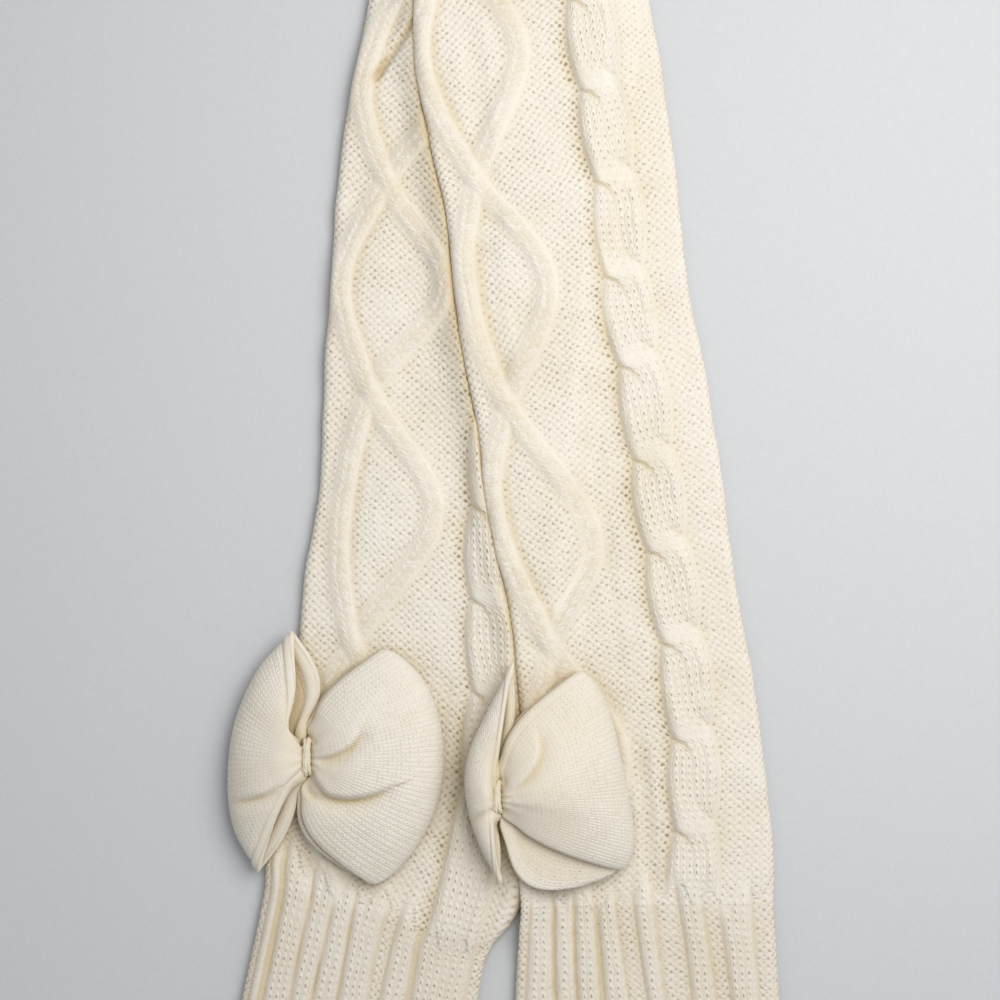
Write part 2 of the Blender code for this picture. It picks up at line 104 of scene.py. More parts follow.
# Points of the meshes: across a wale, round a fold, along an underside, round a rim, along and round a yarn
WALE_POINTS = 5
STRIP_WALE_POINTS = 4
FOLD_POINTS = 11
UNDER_POINTS = {"left": 12, "right": 18}
RIM_POINTS = 4
EDGE_POINTS = 5
WING_POINTS = (104, 34)  # along the top and along the underside
YARN_POINTS = (120, 12)
DICE = 512  # side of the table of random numbers, one for each stitch

# Table, soft light and camera, in metres
TABLE_HALF = 12.0
TABLE_GAP = 0.0004
WINDOW = 0.6
WINDOW_PLACE = (0.28, 0.2, 0.72)
HALF_VIEW = 0.225  # half of what the photo is wide, at VIEW_HEIGHT from the camera
VIEW_HEIGHT = 1.2
CAMERA_PLACE = (-0.0023, -0.0199, 1.21)

Lie = namedtuple("Lie", "y axis half")
Place = namedtuple("Place", "y across")
Trough = namedtuple("Trough", "y0 across0 y1 across1 half depth")
Rib = namedtuple("Rib", "inner outer wales")
Part = namedtuple("Part", "name start end open_end rows inner_rows flat")
Wool = namedtuple("Wool", "lit shade holes cell hole_reach hole_depth knit_holes legs bump fuzz")
Leg = namedtuple("Leg", "lie strands cable crossing troughs knee_ribs "
                        "knee_seam ankle_seam knee_end ankle_end slant turn")
Ray = namedtuple("Ray", "x y bulge puff lip foot")
Crease = namedtuple("Crease", "wing points half depth lift")
# The cavity values are how much painted shade lies inside the folded edges: right wing's upper, left wing's
# upper, right wing's lower, left wing's lower
Bow = namedtuple("Bow", "x y z pinch pinch_height left_wing right_wing tuck curl bands cavities creases")


def table(kind, *rows):
    """Rows with named columns."""
    return tuple(kind(*row) for row in rows)


ANKLE_RIBS = tuple(Rib(-0.93 + 0.27 * k, -0.93 + 0.27 * k + 0.17, 2) for k in range(7))

LEFT = Leg(
    lie=table(Lie, (-288, -73.6, 53.0), (-250, -66.2, 52.5), (-218.5, -60.2, 51.8), (-207, -57.2, 53.0),
              (-196, -54.2, 55.8), (-182, -50.6, 56.9), (-155, -45.1, 56.7), (-110, -39.6, 56.2),
              (-65, -35.4, 55.8), (-20, -30.2, 54.0), (25, -27.2, 54.9), (70, -23.4, 55.6),
              (115, -19.7, 56.5), (160, -13.9, 55.6), (205, -7.4, 52.9), (236, -4.6, 47.7),
              (294, -3.6, 46.8)),
    strands=(
        table(Place, (-199, -24.0), (-144, -50.0), (-88, -31.3), (-26, -1.5), (26.5, -33.8), (75, -51.4),
              (120.5, -34.6), (173, -8.0), (225, -35.3), (237, -38.0)),
        table(Place, (-199, -24.0), (-144, -5.0), (-88, -31.3), (-37, -43.0), (26.5, -33.8), (76, -4.6),
              (120.5, -34.6), (160, -51.0), (225, -35.3), (237, -31.0)),
    ),
    cable=table(Place, (-207, 35.0), (-103, 33.0), (-62, 28.5), (-21, 24.5), (236, 24.0)),
    crossing=-62.0,
    troughs=table(Trough, (163, -46.0, 192, -31.0, 3.0, 2.6), (-150, 8.0, -100, 13.0, 7.0, 0.9),
                  (10, -10.0, 110, -24.0, 12.0, 0.6)),
    knee_ribs=table(Rib, (-0.99, -0.94, 1), (-0.87, -0.65, 4), (-0.62, -0.45, 3), (-0.42, -0.24, 3),
                    (-0.20, 0.05, 4), (0.2, 0.39, 3), (0.46, 0.93, 7)),
    knee_seam=-207.0, ankle_seam=236.0, knee_end=-283.8, ankle_end=292.9, slant=-0.2, turn=0.0,
)

RIGHT = Leg(
    lie=table(Lie, (-288, 64.7, 60.8), (-245, 64.3, 59.6), (-218.5, 64.3, 58.1), (-202.5, 64.3, 57.1),
              (-187, 63.9, 57.6), (-155, 62.7, 56.2), (-110, 59.8, 53.3), (-65, 53.1, 51.5),
              (-20, 45.9, 53.1), (25, 39.1, 53.1), (70, 30.6, 52.6), (115, 25.6, 52.6), (160, 17.9, 54.7),
              (205, 12.1, 52.6), (236, 9.8, 48.1), (294, 8.5, 46.8)),
    strands=(
        table(Place, (-188.5, -30.7), (-135, -50.0), (-80, -35.2), (-37, -9.1), (29.5, -38.1), (88, -46.7),
              (130, -36.9), (178, -9.5), (205, -14.8), (237, -34.5)),
        table(Place, (-188.5, -30.7), (-135, -10.0), (-80, -35.2), (-16, -51.2), (29.5, -38.1),
              (78, -10.7), (130, -36.9), (184, -53.0), (230, -39.0), (237, -36.5)),
    ),
    cable=table(Place, (-202, 20.0), (-156, 22.6), (-69, 23.1), (21, 23.6), (112, 24.8), (236, 24.8)),
    crossing=-3.7,
    troughs=table(Trough, (40, -38.0, 100, -38.0, 8.0, 1.3), (104, -33.0, 195, -29.0, 7.0, 1.1),
                  (-200, 2.0, -128, -0.5, 5.0, 1.3), (-95, -6.0, -20, -2.0, 4.0, 0.5)),
    knee_ribs=table(Rib, (-0.97, -0.79, 3), (-0.74, -0.61, 2), (-0.57, -0.43, 3), (-0.37, -0.22, 3),
                    (-0.03, 0.09, 2), (0.33, 0.50, 3), (0.66, 0.87, 4)),
    knee_seam=-202.5, ankle_seam=236.0, knee_end=-285.0, ankle_end=292.9, slant=0.0, turn=0.14,
)

LEFT_BOW = Bow(
    x=-88.4, y=-134.5, z=13.4, pinch=6.5, pinch_height=7.5,
    left_wing=table(Ray, (-8.4, 54.5, 0.7, 8.0, 10.0, 8.0), (-23.5, 37.5, 0.0, 13.0, 0.0, 5.0),
                    (-33.6, 14.5, 0.0, 14.0, 0.0, 4.0), (-36.8, -11.4, 0.0, 14.0, 0.0, 4.0),
                    (-34.0, -33.5, 0.0, 12.0, 0.0, 4.5), (-23.7, -52.0, -2.6, 8.0, 6.0, 6.0)),
    right_wing=table(Ray, (36.0, 51.5, 7.4, 9.0, 0.0, 11.0), (53.0, 32.0, 2.0, 15.0, 0.0, 10.8),
                     (60.4, 8.5, 0.0, 17.0, 0.0, 10.8), (59.2, -17.0, 0.0, 17.0, 0.0, 10.8),
                     (49.0, -40.5, -4.0, 14.0, 0.0, 10.8), (30.4, -62.6, -13.5, 9.0, 2.0, 10.8)),
    tuck=1.0, curl=5.8, bands=(0.0, 1.0, 0.0, 0.8), cavities=(0.5, 0.62, 0.5, 0.8),
    creases=(
        Crease(1, ((3.7, -1.6), (11.7, 0.2), (18.8, 3.7), (23.2, 8.2), (25.1, 12.6)), 10.0, 2.6, 1.6),
        Crease(1, ((1.0, -6.9), (4.6, -13.1), (9.0, -17.5), (17.0, -19.0), (25.9, -18.2), (32.9, -15.9),
                   (39.2, -12.7)), 11.0, 3.0, 2.2),
        Crease(1, ((-0.4, -12.4), (1.8, -16.0), (5.3, -18.6)), 4.0, 1.0, 0.6),
        Crease(-1, ((-34.1, -21.3), (-25.2, -19.3), (-18.1, -17.3), (-12.8, -13.8)), 9.0, 2.2, 1.2),
    ),
)

RIGHT_BOW = Bow(
    x=-3.6, y=-151.6, z=19.8, pinch=5.5, pinch_height=7.5,
    left_wing=table(Ray, (6.0, 57.5, 0.2, 8.0, 4.2, 20.0), (-4.6, 37.0, 0.5, 11.0, 0.0, 18.5),
                    (-12.6, 19.1, 0.0, 13.0, 0.0, 17.5), (-14.4, 2.0, 0.0, 13.0, 0.0, 16.5),
                    (-9.4, -18.9, -1.0, 11.0, 0.0, 16.0), (0.5, -38.8, -0.8, 8.0, 1.9, 16.0)),
    right_wing=table(Ray, (38.9, 59.4, 9.5, 9.0, 0.0, 14.5), (49.9, 39.4, 3.0, 15.0, 0.0, 12.0),
                     (55.6, 15.3, 1.0, 17.0, 0.0, 11.5), (59.7, -3.9, 0.0, 16.0, 0.0, 11.5),
                     (61.6, -21.4, 0.0, 13.0, 0.0, 11.5), (58.4, -37.0, -4.9, 9.0, 19.0, 11.5)),
    tuck=0.7, curl=0.0, bands=(0.35, 1.0, 0.0, 0.8), cavities=(0.5, 0.9, 0.2, 0.9),
    creases=(
        Crease(1, ((6.0, 1.5), (9.2, 3.9), (14.5, 8.8), (18.6, 15.4), (20.0, 21.9), (18.6, 27.7)),
               9.0, 1.7, 1.5),
        Crease(-1, ((-13.0, -13.0), (-9.0, -9.0), (-4.5, -6.0)), 6.0, 1.6, 0.8),
    ),
)

LEGS = {"left": LEFT, "right": RIGHT}
BOWS = {"left": LEFT_BOW, "right": RIGHT_BOW}

# Parts of each leg: flat is the cut that it is knit to, round and along, in metres
PARTS = table(Part, ("leg", "knee_seam", "ankle_seam", None, 512, 14, (0.226, 0.443)),
              ("knee_cuff", "knee_end", "knee_seam", "start", 92, 6, (0.236, 0.080)),
              ("ankle_cuff", "ankle_seam", "ankle_end", "end", 68, 6, (0.19, 0.057)))

# lit is the cream where light falls, shade the colour of painted warm shade in hollows, and the third colour
# that of painted dark shade in the holes; cell is a stitch's width and height in mm, which keeps its holes
# round; hole_depth is how dark that painted shade is, and knit_holes how much darker between knit stitches;
# legs is how much a knit stitch's two legs stand out
WOOLS = {
    "aran_wool_purl_and_cable":
        Wool("#E8E2D7", "#CDBA93", "#8A7A55", (4.1, 3.45), 0.58, 0.13, 0.7, 0.4, 0.38, 0.7),
    "aran_wool_rib":
        Wool("#E3DCD0", "#C8B48C", "#84734F", (3.6, 3.45), 0.52, 0.14, 0.2, 0.4, 0.38, 0.7),
    "fine_stockinette_wool":
        Wool("#E4DED3", "#CDBA94", "#95825E", (2.4, 2.0), 0.40, 0.06, 0.0, 0.26, 0.22, 0.5),
    "two_ply_wool_yarn":
        Wool("#E8E1D3", "#C9B88F", "#8A754E", (2.0, 2.0), 0.1, 0.0, 0.0, 0.4, 0.25, 0.4),
}


# ---- curves and the legs' own coordinates

def smooth_step(t):
    """0 below 0, 1 above 1 and an even S between."""
    t = np.clip(t, 0.0, 1.0)
    return t * t * (3.0 - 2.0 * t)


def bell(distance, half):
    """A soft ridge's height, 1 on its line and 0 at half its width."""
    return np.cos(np.clip(np.abs(distance) / half, 0.0, 1.0) * math.pi / 2) ** 1.3


def cord(distance, half):
    """A rounded cord's height, 1 on its line and steep at its edges."""
    return np.clip(1.0 - np.abs(distance / half) ** 3.0, 0.0, 1.0) ** 0.6


def hump(distance, width):
    """A bell curve's height, 1 on its line and about a third at its width."""
    return np.exp(-(distance / width) ** 2)


def stacked(*fields):
    """Several fields as one with a last axis."""
    return np.stack(np.broadcast_arrays(*fields), -1)


def curve_value(keys, values, at):
    """Values on a smooth curve through all the points of a table."""
    keys, values = np.asarray(keys, float), np.asarray(values, float)
    at = np.clip(at, keys[0], keys[-1])
    i = np.clip(np.searchsorted(keys, at) - 1, 0, len(keys) - 2)
    low, high = np.maximum(np.arange(len(keys)) - 1, 0), np.minimum(np.arange(len(keys)) + 1, len(keys) - 1)
    slope = (values[high] - values[low]) / (keys[high] - keys[low])
    span = keys[i + 1] - keys[i]
    t = (at - keys[i]) / span
    return ((2 * t**3 - 3 * t**2 + 1) * values[i] + (t**3 - 2 * t**2 + t) * span * slope[i]
            + (3 * t**2 - 2 * t**3) * values[i + 1] + (t**3 - t**2) * span * slope[i + 1])


def read(rows, column, y):
    """One column of a table of rows, smoothly between them."""
    return curve_value([row.y for row in rows], [getattr(row, column) for row in rows], y)


def lean(leg, y):
    """How far the leg's axis moves sideways for each millimetre up."""
    return (read(leg.lie, "axis", y + 1.0) - read(leg.lie, "axis", y - 1.0)) / 2.0


def on_surface(leg, y, across):
    """The x and y of places on a leg."""
    tilt = lean(leg, y)
    length = np.hypot(1.0, tilt)
    return read(leg.lie, "axis", y) + across / length, y - across * tilt / length


def on_leg(leg, x, y):
    """The section and the distance across of places given by x and y."""
    section = y
    for _ in range(4):
        tilt = lean(leg, section)
        aside = x - read(leg.lie, "axis", section)
        section = section + (aside * tilt + (y - section)) / (1.0 + tilt * tilt)
    tilt = lean(leg, section)
    aside = x - read(leg.lie, "axis", section)
    return section, (aside - (y - section) * tilt) / np.hypot(1.0, tilt)


def stack_height(leg, x, y, across, half):
    """Height of the leg's underside: the right leg rises over the left one and its far side comes down."""
    if leg is LEFT:
        return 0.0
    section, left_across = on_leg(LEFT, x, y)
    beyond = left_across - read(LEFT.lie, "half", section)
    edge = EDGE_LIFT * (1.0 - smooth_step((across + half) / LIFT_FADE))
    return (1.0 - smooth_step(beyond / DROP_OVER)) * (THICK + STACK_GAP + edge)


def pressed(leg, x, y):
    """Share of the relief that is left: none where the right leg lies on it."""
    if leg is RIGHT:
        return 1.0
    section, across = on_leg(RIGHT, x, y)
    return 1.0 - smooth_step((across + read(RIGHT.lie, "half", section)) / PRESS_SPAN + 0.5)


# ---- knitting

STITCH_DICE = np.random.default_rng(11).random((DICE, DICE))

# Soft unevenness of cloth that lies flat: turns per millimetre along x and y, phase, height in mm
RIPPLES = (
    (0.031, 0.017, 0.4, 0.28), (-0.022, 0.041, 2.1, 0.26), (0.067, -0.031, 4.0, 0.16),
    (0.018, 0.083, 1.3, 0.14), (0.094, 0.052, 5.2, 0.10), (-0.071, 0.109, 3.3, 0.09),
)


def ripple(x, y):
    """Height of the soft unevenness."""
    return sum(height * np.sin(TAU / 2 * (a * x + b * y) + phase) for a, b, phase, height in RIPPLES)


def dice(u, v):
    """A fixed random number for each stitch, -1 to 1."""
    return STITCH_DICE[np.floor(u).astype(int) % DICE, np.floor(v).astype(int) % DICE] * 2.0 - 1.0


def loose_stitches(u, v):
    """Hand knitting wanders: the same places with uneven wales and courses."""
    return (u + 0.10 * np.sin(0.71 * v + 1.3 * np.sin(0.45 * u)) + 0.05 * np.sin(1.9 * v + 0.6 * u),
            v + 0.13 * np.sin(0.83 * u + 0.33 * v) + 0.06 * np.sin(2.3 * u - 0.4 * v))


def stitch_relief(u, v, knit, legs=0.3):
    """Height of the stitches, 0 to 1: staggered purl bumps, or columns of V's that meet where u is whole."""
    f = u - np.floor(u) - 0.5
    rows = 0.5 + 0.5 * np.cos(TAU * (v + SCALLOP * (1.0 - np.cos(TAU * f))))
    bumps = 0.5 - 0.5 * np.cos(TAU * f) * np.cos(TAU * (v - 0.5))
    column = (0.5 + 0.5 * np.cos(TAU * f)) ** 0.35
    knitted = column * (1.0 - legs + legs * np.cos(TAU * (v - 1.1 * (0.5 - np.abs(f)))))
    return knit * knitted + (1.0 - knit) * (0.35 * rows + 0.65 * bumps) + 0.15 * dice(u, v)


def blurred(field, reach):
    """A field with every point replaced by the mean of those within reach, both ways."""
    width = 2 * reach + 1
    for axis, mode in ((0, "edge"), (1, "wrap")):
        pad = [(0, 0), (0, 0)]
        pad[axis] = (reach, reach)
        padded = np.pad(field, pad, mode)
        field = np.lib.stride_tricks.sliding_window_view(padded, width, axis).mean(-1)
    return field


def hollows(height, reach, depth):
    """0 to 1 where a place lies lower than what is round it."""
    mean = blurred(blurred(height, reach), reach)
    return np.clip((mean - height) / depth, 0.0, 1.0)


# The last field is painted shade in creases, dips, grooves and beside the right leg's edge; hole is how large
# and how dark each stitch hole's painted shade is
Cloth = namedtuple("Cloth", "height u v knit hole plain tone")


def over(below, mask, **above):
    """Cloth with something laid over it where the mask says; plain is where its stitches don't show."""
    return below._replace(**{name: np.where(mask, value, getattr(below, name))
                             for name, value in above.items()})


def lattice(leg, cloth, y, arc, settings):
    """Two raised strands, two stitches wide, that cross and make diamonds."""
    course = settings.course / MM
    rise = settings.strand_height / MM
    places = [read(rows, "across", y) for rows in leg.strands]
    turns = [(read(rows, "across", y + 1.0) - read(rows, "across", y - 1.0)) / 2.0 for rows in leg.strands]
    crossing = bell(places[0] - places[1], CROSS_SPAN)
    first_on_top = turns[0] < 0.0

    # The cloth puffs up inside a diamond and dips beside the strand on its left, with painted shade in that dip
    left, width = np.minimum(*places), np.abs(places[0] - places[1])
    wide = np.clip(width / DIAMOND, 0.0, 1.0)
    within = np.clip((arc - left) / np.maximum(width, 1.0), 0.0, 1.0)
    puff = DIAMOND_PUFF * wide * np.sin(math.pi * within) ** 0.7
    dip = wide * hump(arc - left - STRAND_HALF + 1.0, 2.2)
    cloth = cloth._replace(tone=cloth.tone + 0.26 * dip)
    ground, best = cloth.height + puff - 0.3 * dip, np.zeros_like(cloth.height)
    for k in (0, 1):
        slope = np.hypot(1.0, turns[k])
        distance = (arc - places[k]) / slope
        on_top = first_on_top if k == 0 else ~first_on_top
        shape = 0.75 * bell(distance, STRAND_HALF) + 0.25 * cord(distance, STRAND_STITCHES + 0.6)
        height = (rise + np.where(on_top, 0.5, -0.9) * crossing) * shape
        beside = np.abs(distance) - STRAND_STITCHES
        along = np.cumsum(slope * np.gradient(y, axis=0), 0) / course
        plain = np.maximum(cloth.plain, 1.0 - smooth_step((beside - 0.7) / 0.8))
        cloth = over(cloth, height > best, plain=plain)
        cloth = over(cloth, (height > best) & (beside < 0.0), u=distance / STRAND_WALE, v=along, knit=1.0,
                     hole=-2.4, plain=0.05 + 0.95 * smooth_step((beside + 1.6) / 0.9))
        meeting = (1.0 - smooth_step((np.abs(height - best) - 0.7) / 0.5)) * (np.minimum(height, best) > 0.2)
        best = np.maximum(best, height)
    return cloth._replace(height=ground + best, plain=np.maximum(cloth.plain, meeting))


def notch(distance):
    """1 where the rope's strands cross and 0 half a repeat away, with a sharp corner."""
    return 1.0 - np.abs(np.sin(math.pi * np.clip(distance / CABLE_REPEAT, -0.5, 0.5))) ** 0.8


def rope(leg, cloth, y, across, arc, settings):
    """The rope cable: of eight wales the left four cross over the right four, going down to the right."""
    rise = settings.cable_height / MM
    middle = read(leg.cable, "across", y)
    place = across - middle
    last = math.floor((leg.crossing - leg.knee_seam - CABLE_CLEAR) / CABLE_REPEAT)
    number = np.minimum(np.round((leg.crossing - y) / CABLE_REPEAT), last)
    below = leg.crossing - number * CABLE_REPEAT - y
    above = -CABLE_LEAD - below
    under, over_it = np.maximum(below, 0.0), np.maximum(above, 0.0)

    # Edges of the band, drawn in at the crossing, and of the strand that crosses over
    left_notch, right_notch = CABLE_NOTCH * notch(below), CABLE_NOTCH * notch(above)
    left_end, right_end = left_notch - CABLE_HALF, CABLE_HALF - right_notch
    left = np.where(below > 0.0, left_end * np.exp(-under / CABLE_CURVE), left_end)
    right = np.where(above > 0.0, right_end * np.exp(-over_it / CABLE_CURVE), right_end)
    front = smooth_step((place - left) / 1.6 + 0.5) * smooth_step((right - place) / 1.6 + 0.5)
    wale = np.where(place < left, (place - left_end) / np.maximum(left - left_end, 0.5) - 1.0,
                    np.where(place > right, (place - right) / np.maximum(right_end - right, 0.5) + 1.0,
                             (place - left) / (right - left)))
    wale = np.clip(wale, np.where(place < left, -1.0, 0.0), np.where(place > right, 2.0, 1.0))
    over_strand = 2.0 * (wale - np.floor(np.minimum(wale, 1.999))) - 1.0

    # The crossing strand stands up and the other one dives under it, with a crease that fades with distance
    left_fade, right_fade = np.exp(-under / CROSS_FADE), np.exp(-over_it / CROSS_FADE)
    crossing = np.where(place < (left + right) / 2, left_fade, right_fade)
    level = front * (1.0 + 0.14 * crossing) + (1.0 - front) * (1.0 - 0.45 * crossing)
    crease = left_fade * hump(place - left, 1.2) * smooth_step(below / 2.0 + 0.5)
    right_crease = 0.2 * right_fade * hump(place - right, 1.5) * smooth_step(above / 2.0 + 0.5)
    creases = np.maximum(crease, right_crease)
    side = np.clip((left_end + 4.2 - place) / 4.2, 0.0, 1.0)
    profile = (1.0 - side**2) ** 0.85 * (1.0 - smooth_step((place - right_end + 4.6) / 6.0))
    rounded = 1.0 - (0.05 + 0.12 * crossing) * over_strand**2
    height = rise * profile * rounded * level * (1.0 - 0.5 * creases)

    # The ground's wales run along the band on both sides, squeezed and with ladder holes on its left
    from_band = np.where(place < 0.0, middle - arc, arc - middle) - CABLE_HALF
    drawn_in = np.where(place < 0.0, left_notch, right_notch)
    from_band = np.maximum(from_band + drawn_in * np.exp(-np.maximum(from_band, 0.0) / 8.0), 0.0)
    wales_out = from_band / WALE + 0.2 * (1.0 - np.exp(-from_band / 2.0))
    ladder = 1.15 * hump(place - left_end + 1.8, 3.4)
    inside = np.minimum(place - left_end, right_end - place) - 0.8
    edge = 1.0 - smooth_step((np.abs(inside) - 0.7) / 0.5)
    beside = 0.35 * hump(place - left_end + 1.4, 2.4)
    beside = beside + 0.15 * hump(place - right_end - 3.0, 3.0)
    # Painted shade in the crossing's crease and a little in the ladder holes beside the band
    cloth = cloth._replace(height=cloth.height + height - beside,
                           u=np.where(place < 0.0, -wales_out, wales_out),
                           hole=ladder - 0.5 * smooth_step((place - right_end) / 4.0),
                           tone=cloth.tone + 0.45 * crease + 0.1 * ladder)
    plain = np.maximum(0.75 * hump(below + CABLE_LEAD / 2, 5.0), creases)
    cloth = over(cloth, inside > 0.0, u=4.0 * (wale - number), knit=1.0, hole=0.0, plain=plain)
    return cloth._replace(plain=np.maximum(cloth.plain, edge))


def ribs(leg, cloth, y, share, half, settings):
    """The cuffs' ribbing, blended in over a few courses from the leg's own pattern."""
    course, rise = settings.course / MM, settings.rib_height / MM
    uneven = 3.5 * np.sin(6.0 * share + 1.0) + 4.0 * np.sin(23.0 * share + 2.0)
    to_knee = leg.knee_seam + RIB_START + leg.slant * share * half + uneven
    share = share + (1.0 - share**2) * 0.01 * np.sin(y / 13.0 + 9.0 * share)
    turned = share + leg.turn * (y - leg.knee_seam + RIB_READ) / half * (1.0 - share**2)
    for rows, share, inside in (
            (leg.knee_ribs, turned, smooth_step((to_knee - y) / RIB_BLEND + 0.5)),
            (ANKLE_RIBS, share, smooth_step((y - leg.ankle_seam - uneven) / RIB_BLEND + 0.5))):
        height, wale = np.zeros_like(share), share * FRONT_WALES / 2
        knit, plain, tone = np.zeros_like(share), np.zeros_like(share), np.zeros_like(share)
        for rib in rows:
            middle, reach = (rib.inner + rib.outer) / 2, (rib.outer - rib.inner) / 2 + 0.012
            t = (share - middle) / reach
            edge = (np.abs(t) - 1.0) * reach * half
            on = edge < 0.0
            height = np.where(on, rise * np.clip(1.0 - np.abs(t) ** 4, 0.0, 1.0) ** 0.5, height)
            wale = np.where(on, (t + 1.0) / 2 * rib.wales + 0.5, wale)
            knit = np.where(on, 1.0, knit)
            plain = np.maximum(plain, 1.0 - smooth_step((np.abs(edge + 0.1) - 0.6) / 0.8))
            # Painted shade in the grooves beside each rib
            tone = np.maximum(tone, 0.14 * hump(edge - 0.3, 0.7))
        mask = inside > 0.5
        change = smooth_step(1.0 - np.abs(inside - 0.5) / 0.22)
        cloth = cloth._replace(height=cloth.height + (height - cloth.height) * inside,
                               hole=cloth.hole * (1.0 - inside),
                               tone=cloth.tone + (tone - cloth.tone) * inside)
        cloth = over(cloth, mask, u=wale, v=y / course, knit=knit, plain=plain)
        cloth = cloth._replace(plain=np.maximum(cloth.plain, change * 0.9))
    return cloth


def soft_troughs(leg, y, across):
    """The large soft hollows in the front."""
    depth = 0.0
    for trough in leg.troughs:
        t = (y - trough.y0) / (trough.y1 - trough.y0)
        line = trough.across0 + (trough.across1 - trough.across0) * np.clip(t, 0.0, 1.0)
        ends = smooth_step(t / 0.25 + 0.5) * smooth_step((1.0 - t) / 0.25 + 0.5)
        depth = depth + trough.depth * ends * bell(across - line, trough.half)
    return -depth


# ---- meshes

def placed(name, data, location=(0.0, 0.0, 0.0)):
    """An object in the scene."""
    item = bpy.data.objects.new(name, data)
    item.location = location
    bpy.context.scene.collection.objects.link(item)
    return item


def closed_mesh(name, grids, material, stitches=None, shades=None):
    """One mesh of grids of points that join up both ways, with what the wool's pattern needs at each."""
    points, quads, maps, first = [], [], [], 0
    for number, grid in enumerate(grids):
        rows, columns = grid.shape[:2]
        r, c = np.meshgrid(np.arange(rows), np.arange(columns), indexing="ij")
        ahead, aside = (r + 1) % rows, (c + 1) % columns
        corners = stacked(r * columns + c, r * columns + aside,
                            ahead * columns + aside, ahead * columns + c)
        across = stacked(c, c + 1, c + 1, c) / columns
        along = (stacked(r, r, r + 1, r + 1) / rows + number) / len(grids)
        points.append(grid.reshape(-1, 3))
        quads.append(corners.reshape(-1, 4) + first)
        maps.append(stacked(across, along).reshape(-1, 2))
        first += rows * columns
    points, quads, maps = np.concatenate(points) * MM, np.concatenate(quads), np.concatenate(maps)
    a, b, c, d = (points[quads[:, k]] for k in range(4))
    if (np.cross(c - a, d - b) * (a + b + c + d)).sum() < 0.0:
        quads, maps = quads[:, ::-1], maps.reshape(-1, 4, 2)[:, ::-1].reshape(-1, 2)
    mesh = bpy.data.meshes.new(name)
    mesh.vertices.add(len(points))
    mesh.vertices.foreach_set("co", points.ravel())
    mesh.loops.add(quads.size)
    mesh.loops.foreach_set("vertex_index", quads.ravel().astype(np.int32))
    mesh.polygons.add(len(quads))
    mesh.polygons.foreach_set("loop_start", np.arange(0, quads.size, 4, dtype=np.int32))
    mesh.update(calc_edges=True)
    mesh.uv_layers.new(name="OFBake").data.foreach_set("uv", maps.ravel())
    for label, values in (("stitch", stitches), ("shade", shades)):
        if values is not None:
            mesh.attributes.new(label, "FLOAT_VECTOR", "POINT").data.foreach_set(
                "vector", np.concatenate([value.reshape(-1, 3) for value in values]).ravel())
    mesh.validate()
    mesh.shade_smooth()
    mesh.materials.append(material)
    return placed(name, mesh)


def half_turn(count):
    """Angles between the ends of a half turn."""
    return np.linspace(0.0, math.pi, count + 2)[1:-1]


def between(start, end, turn):
    """Places that swing from one row of points to another."""
    return start * (1 + math.cos(turn)) / 2 + end * (1 - math.cos(turn)) / 2


Stops = namedtuple("Stops", "lead angle side")


def stops_round(under, fold, front):
    """Places round a flattened tube: along the underside, up the right fold, back along the front, down."""
    turn = half_turn(fold)
    return Stops(
        np.concatenate([np.linspace(-1, 1, under), np.ones(fold), np.linspace(1, -1, front), -np.ones(fold)]),
        np.concatenate([np.zeros(under), turn, np.full(front, math.pi), turn[::-1]]),
        np.concatenate([np.ones(under), np.ones(fold), np.ones(front), -np.ones(fold)]),
    )


def tube_points(leg, y, stops, half, low, high, raised):
    """Points of a flattened tube's face between two heights, moved out by what is raised."""
    radius = (high - low) / 2
    flat = half - radius
    out, up = stops.side * np.sin(stops.angle), -np.cos(stops.angle)
    across = flat * stops.lead + radius * out + raised * out
    x, world_y = on_surface(leg, y, across)
    height = low + radius * (1.0 + up) + raised * up
    height = height + stack_height(leg, x, world_y, across - raised * out, read(leg.lie, "half", y))
    return stacked(x, world_y, height)


def between_legs(leg, x, y, stops):
    """Beside the right leg's left edge: how far cloth is pushed up, how much painted shade it gets in the
    crevice between the legs, and how much more painted shade goes into each hole.
    """
    section, across = on_leg(RIGHT, x, y)
    inside = across + read(RIGHT.lie, "half", section)
    higher_up = 0.45 + 0.55 * smooth_step(y / 60.0)
    if leg is LEFT:
        outside = np.maximum(-inside, 0.0)
        heap = HEAP * smooth_step((3.6 - inside) / 5.0) * hump(outside, 8.0) * (stops.angle > 1.5)
        tone = 0.3 * hump(outside, 3.0) + 0.35 * hump(outside, 7.0)
        return heap, higher_up * tone * (stops.angle > 1.5), 0.5 * hump(outside, 8.0)
    _, left_across = on_leg(LEFT, x, y)
    over_left = smooth_step((read(LEFT.lie, "half", section) - left_across) / 6.0)
    on_left = stops.side < 0.0
    tone = np.where(on_left, 1.0 - smooth_step((stops.angle - 0.3) / 1.5), stops.angle == 0.0)
    return 0.0, 0.35 * higher_up * over_left * tone, 0.4 * over_left * on_left * (stops.angle < 2.0)


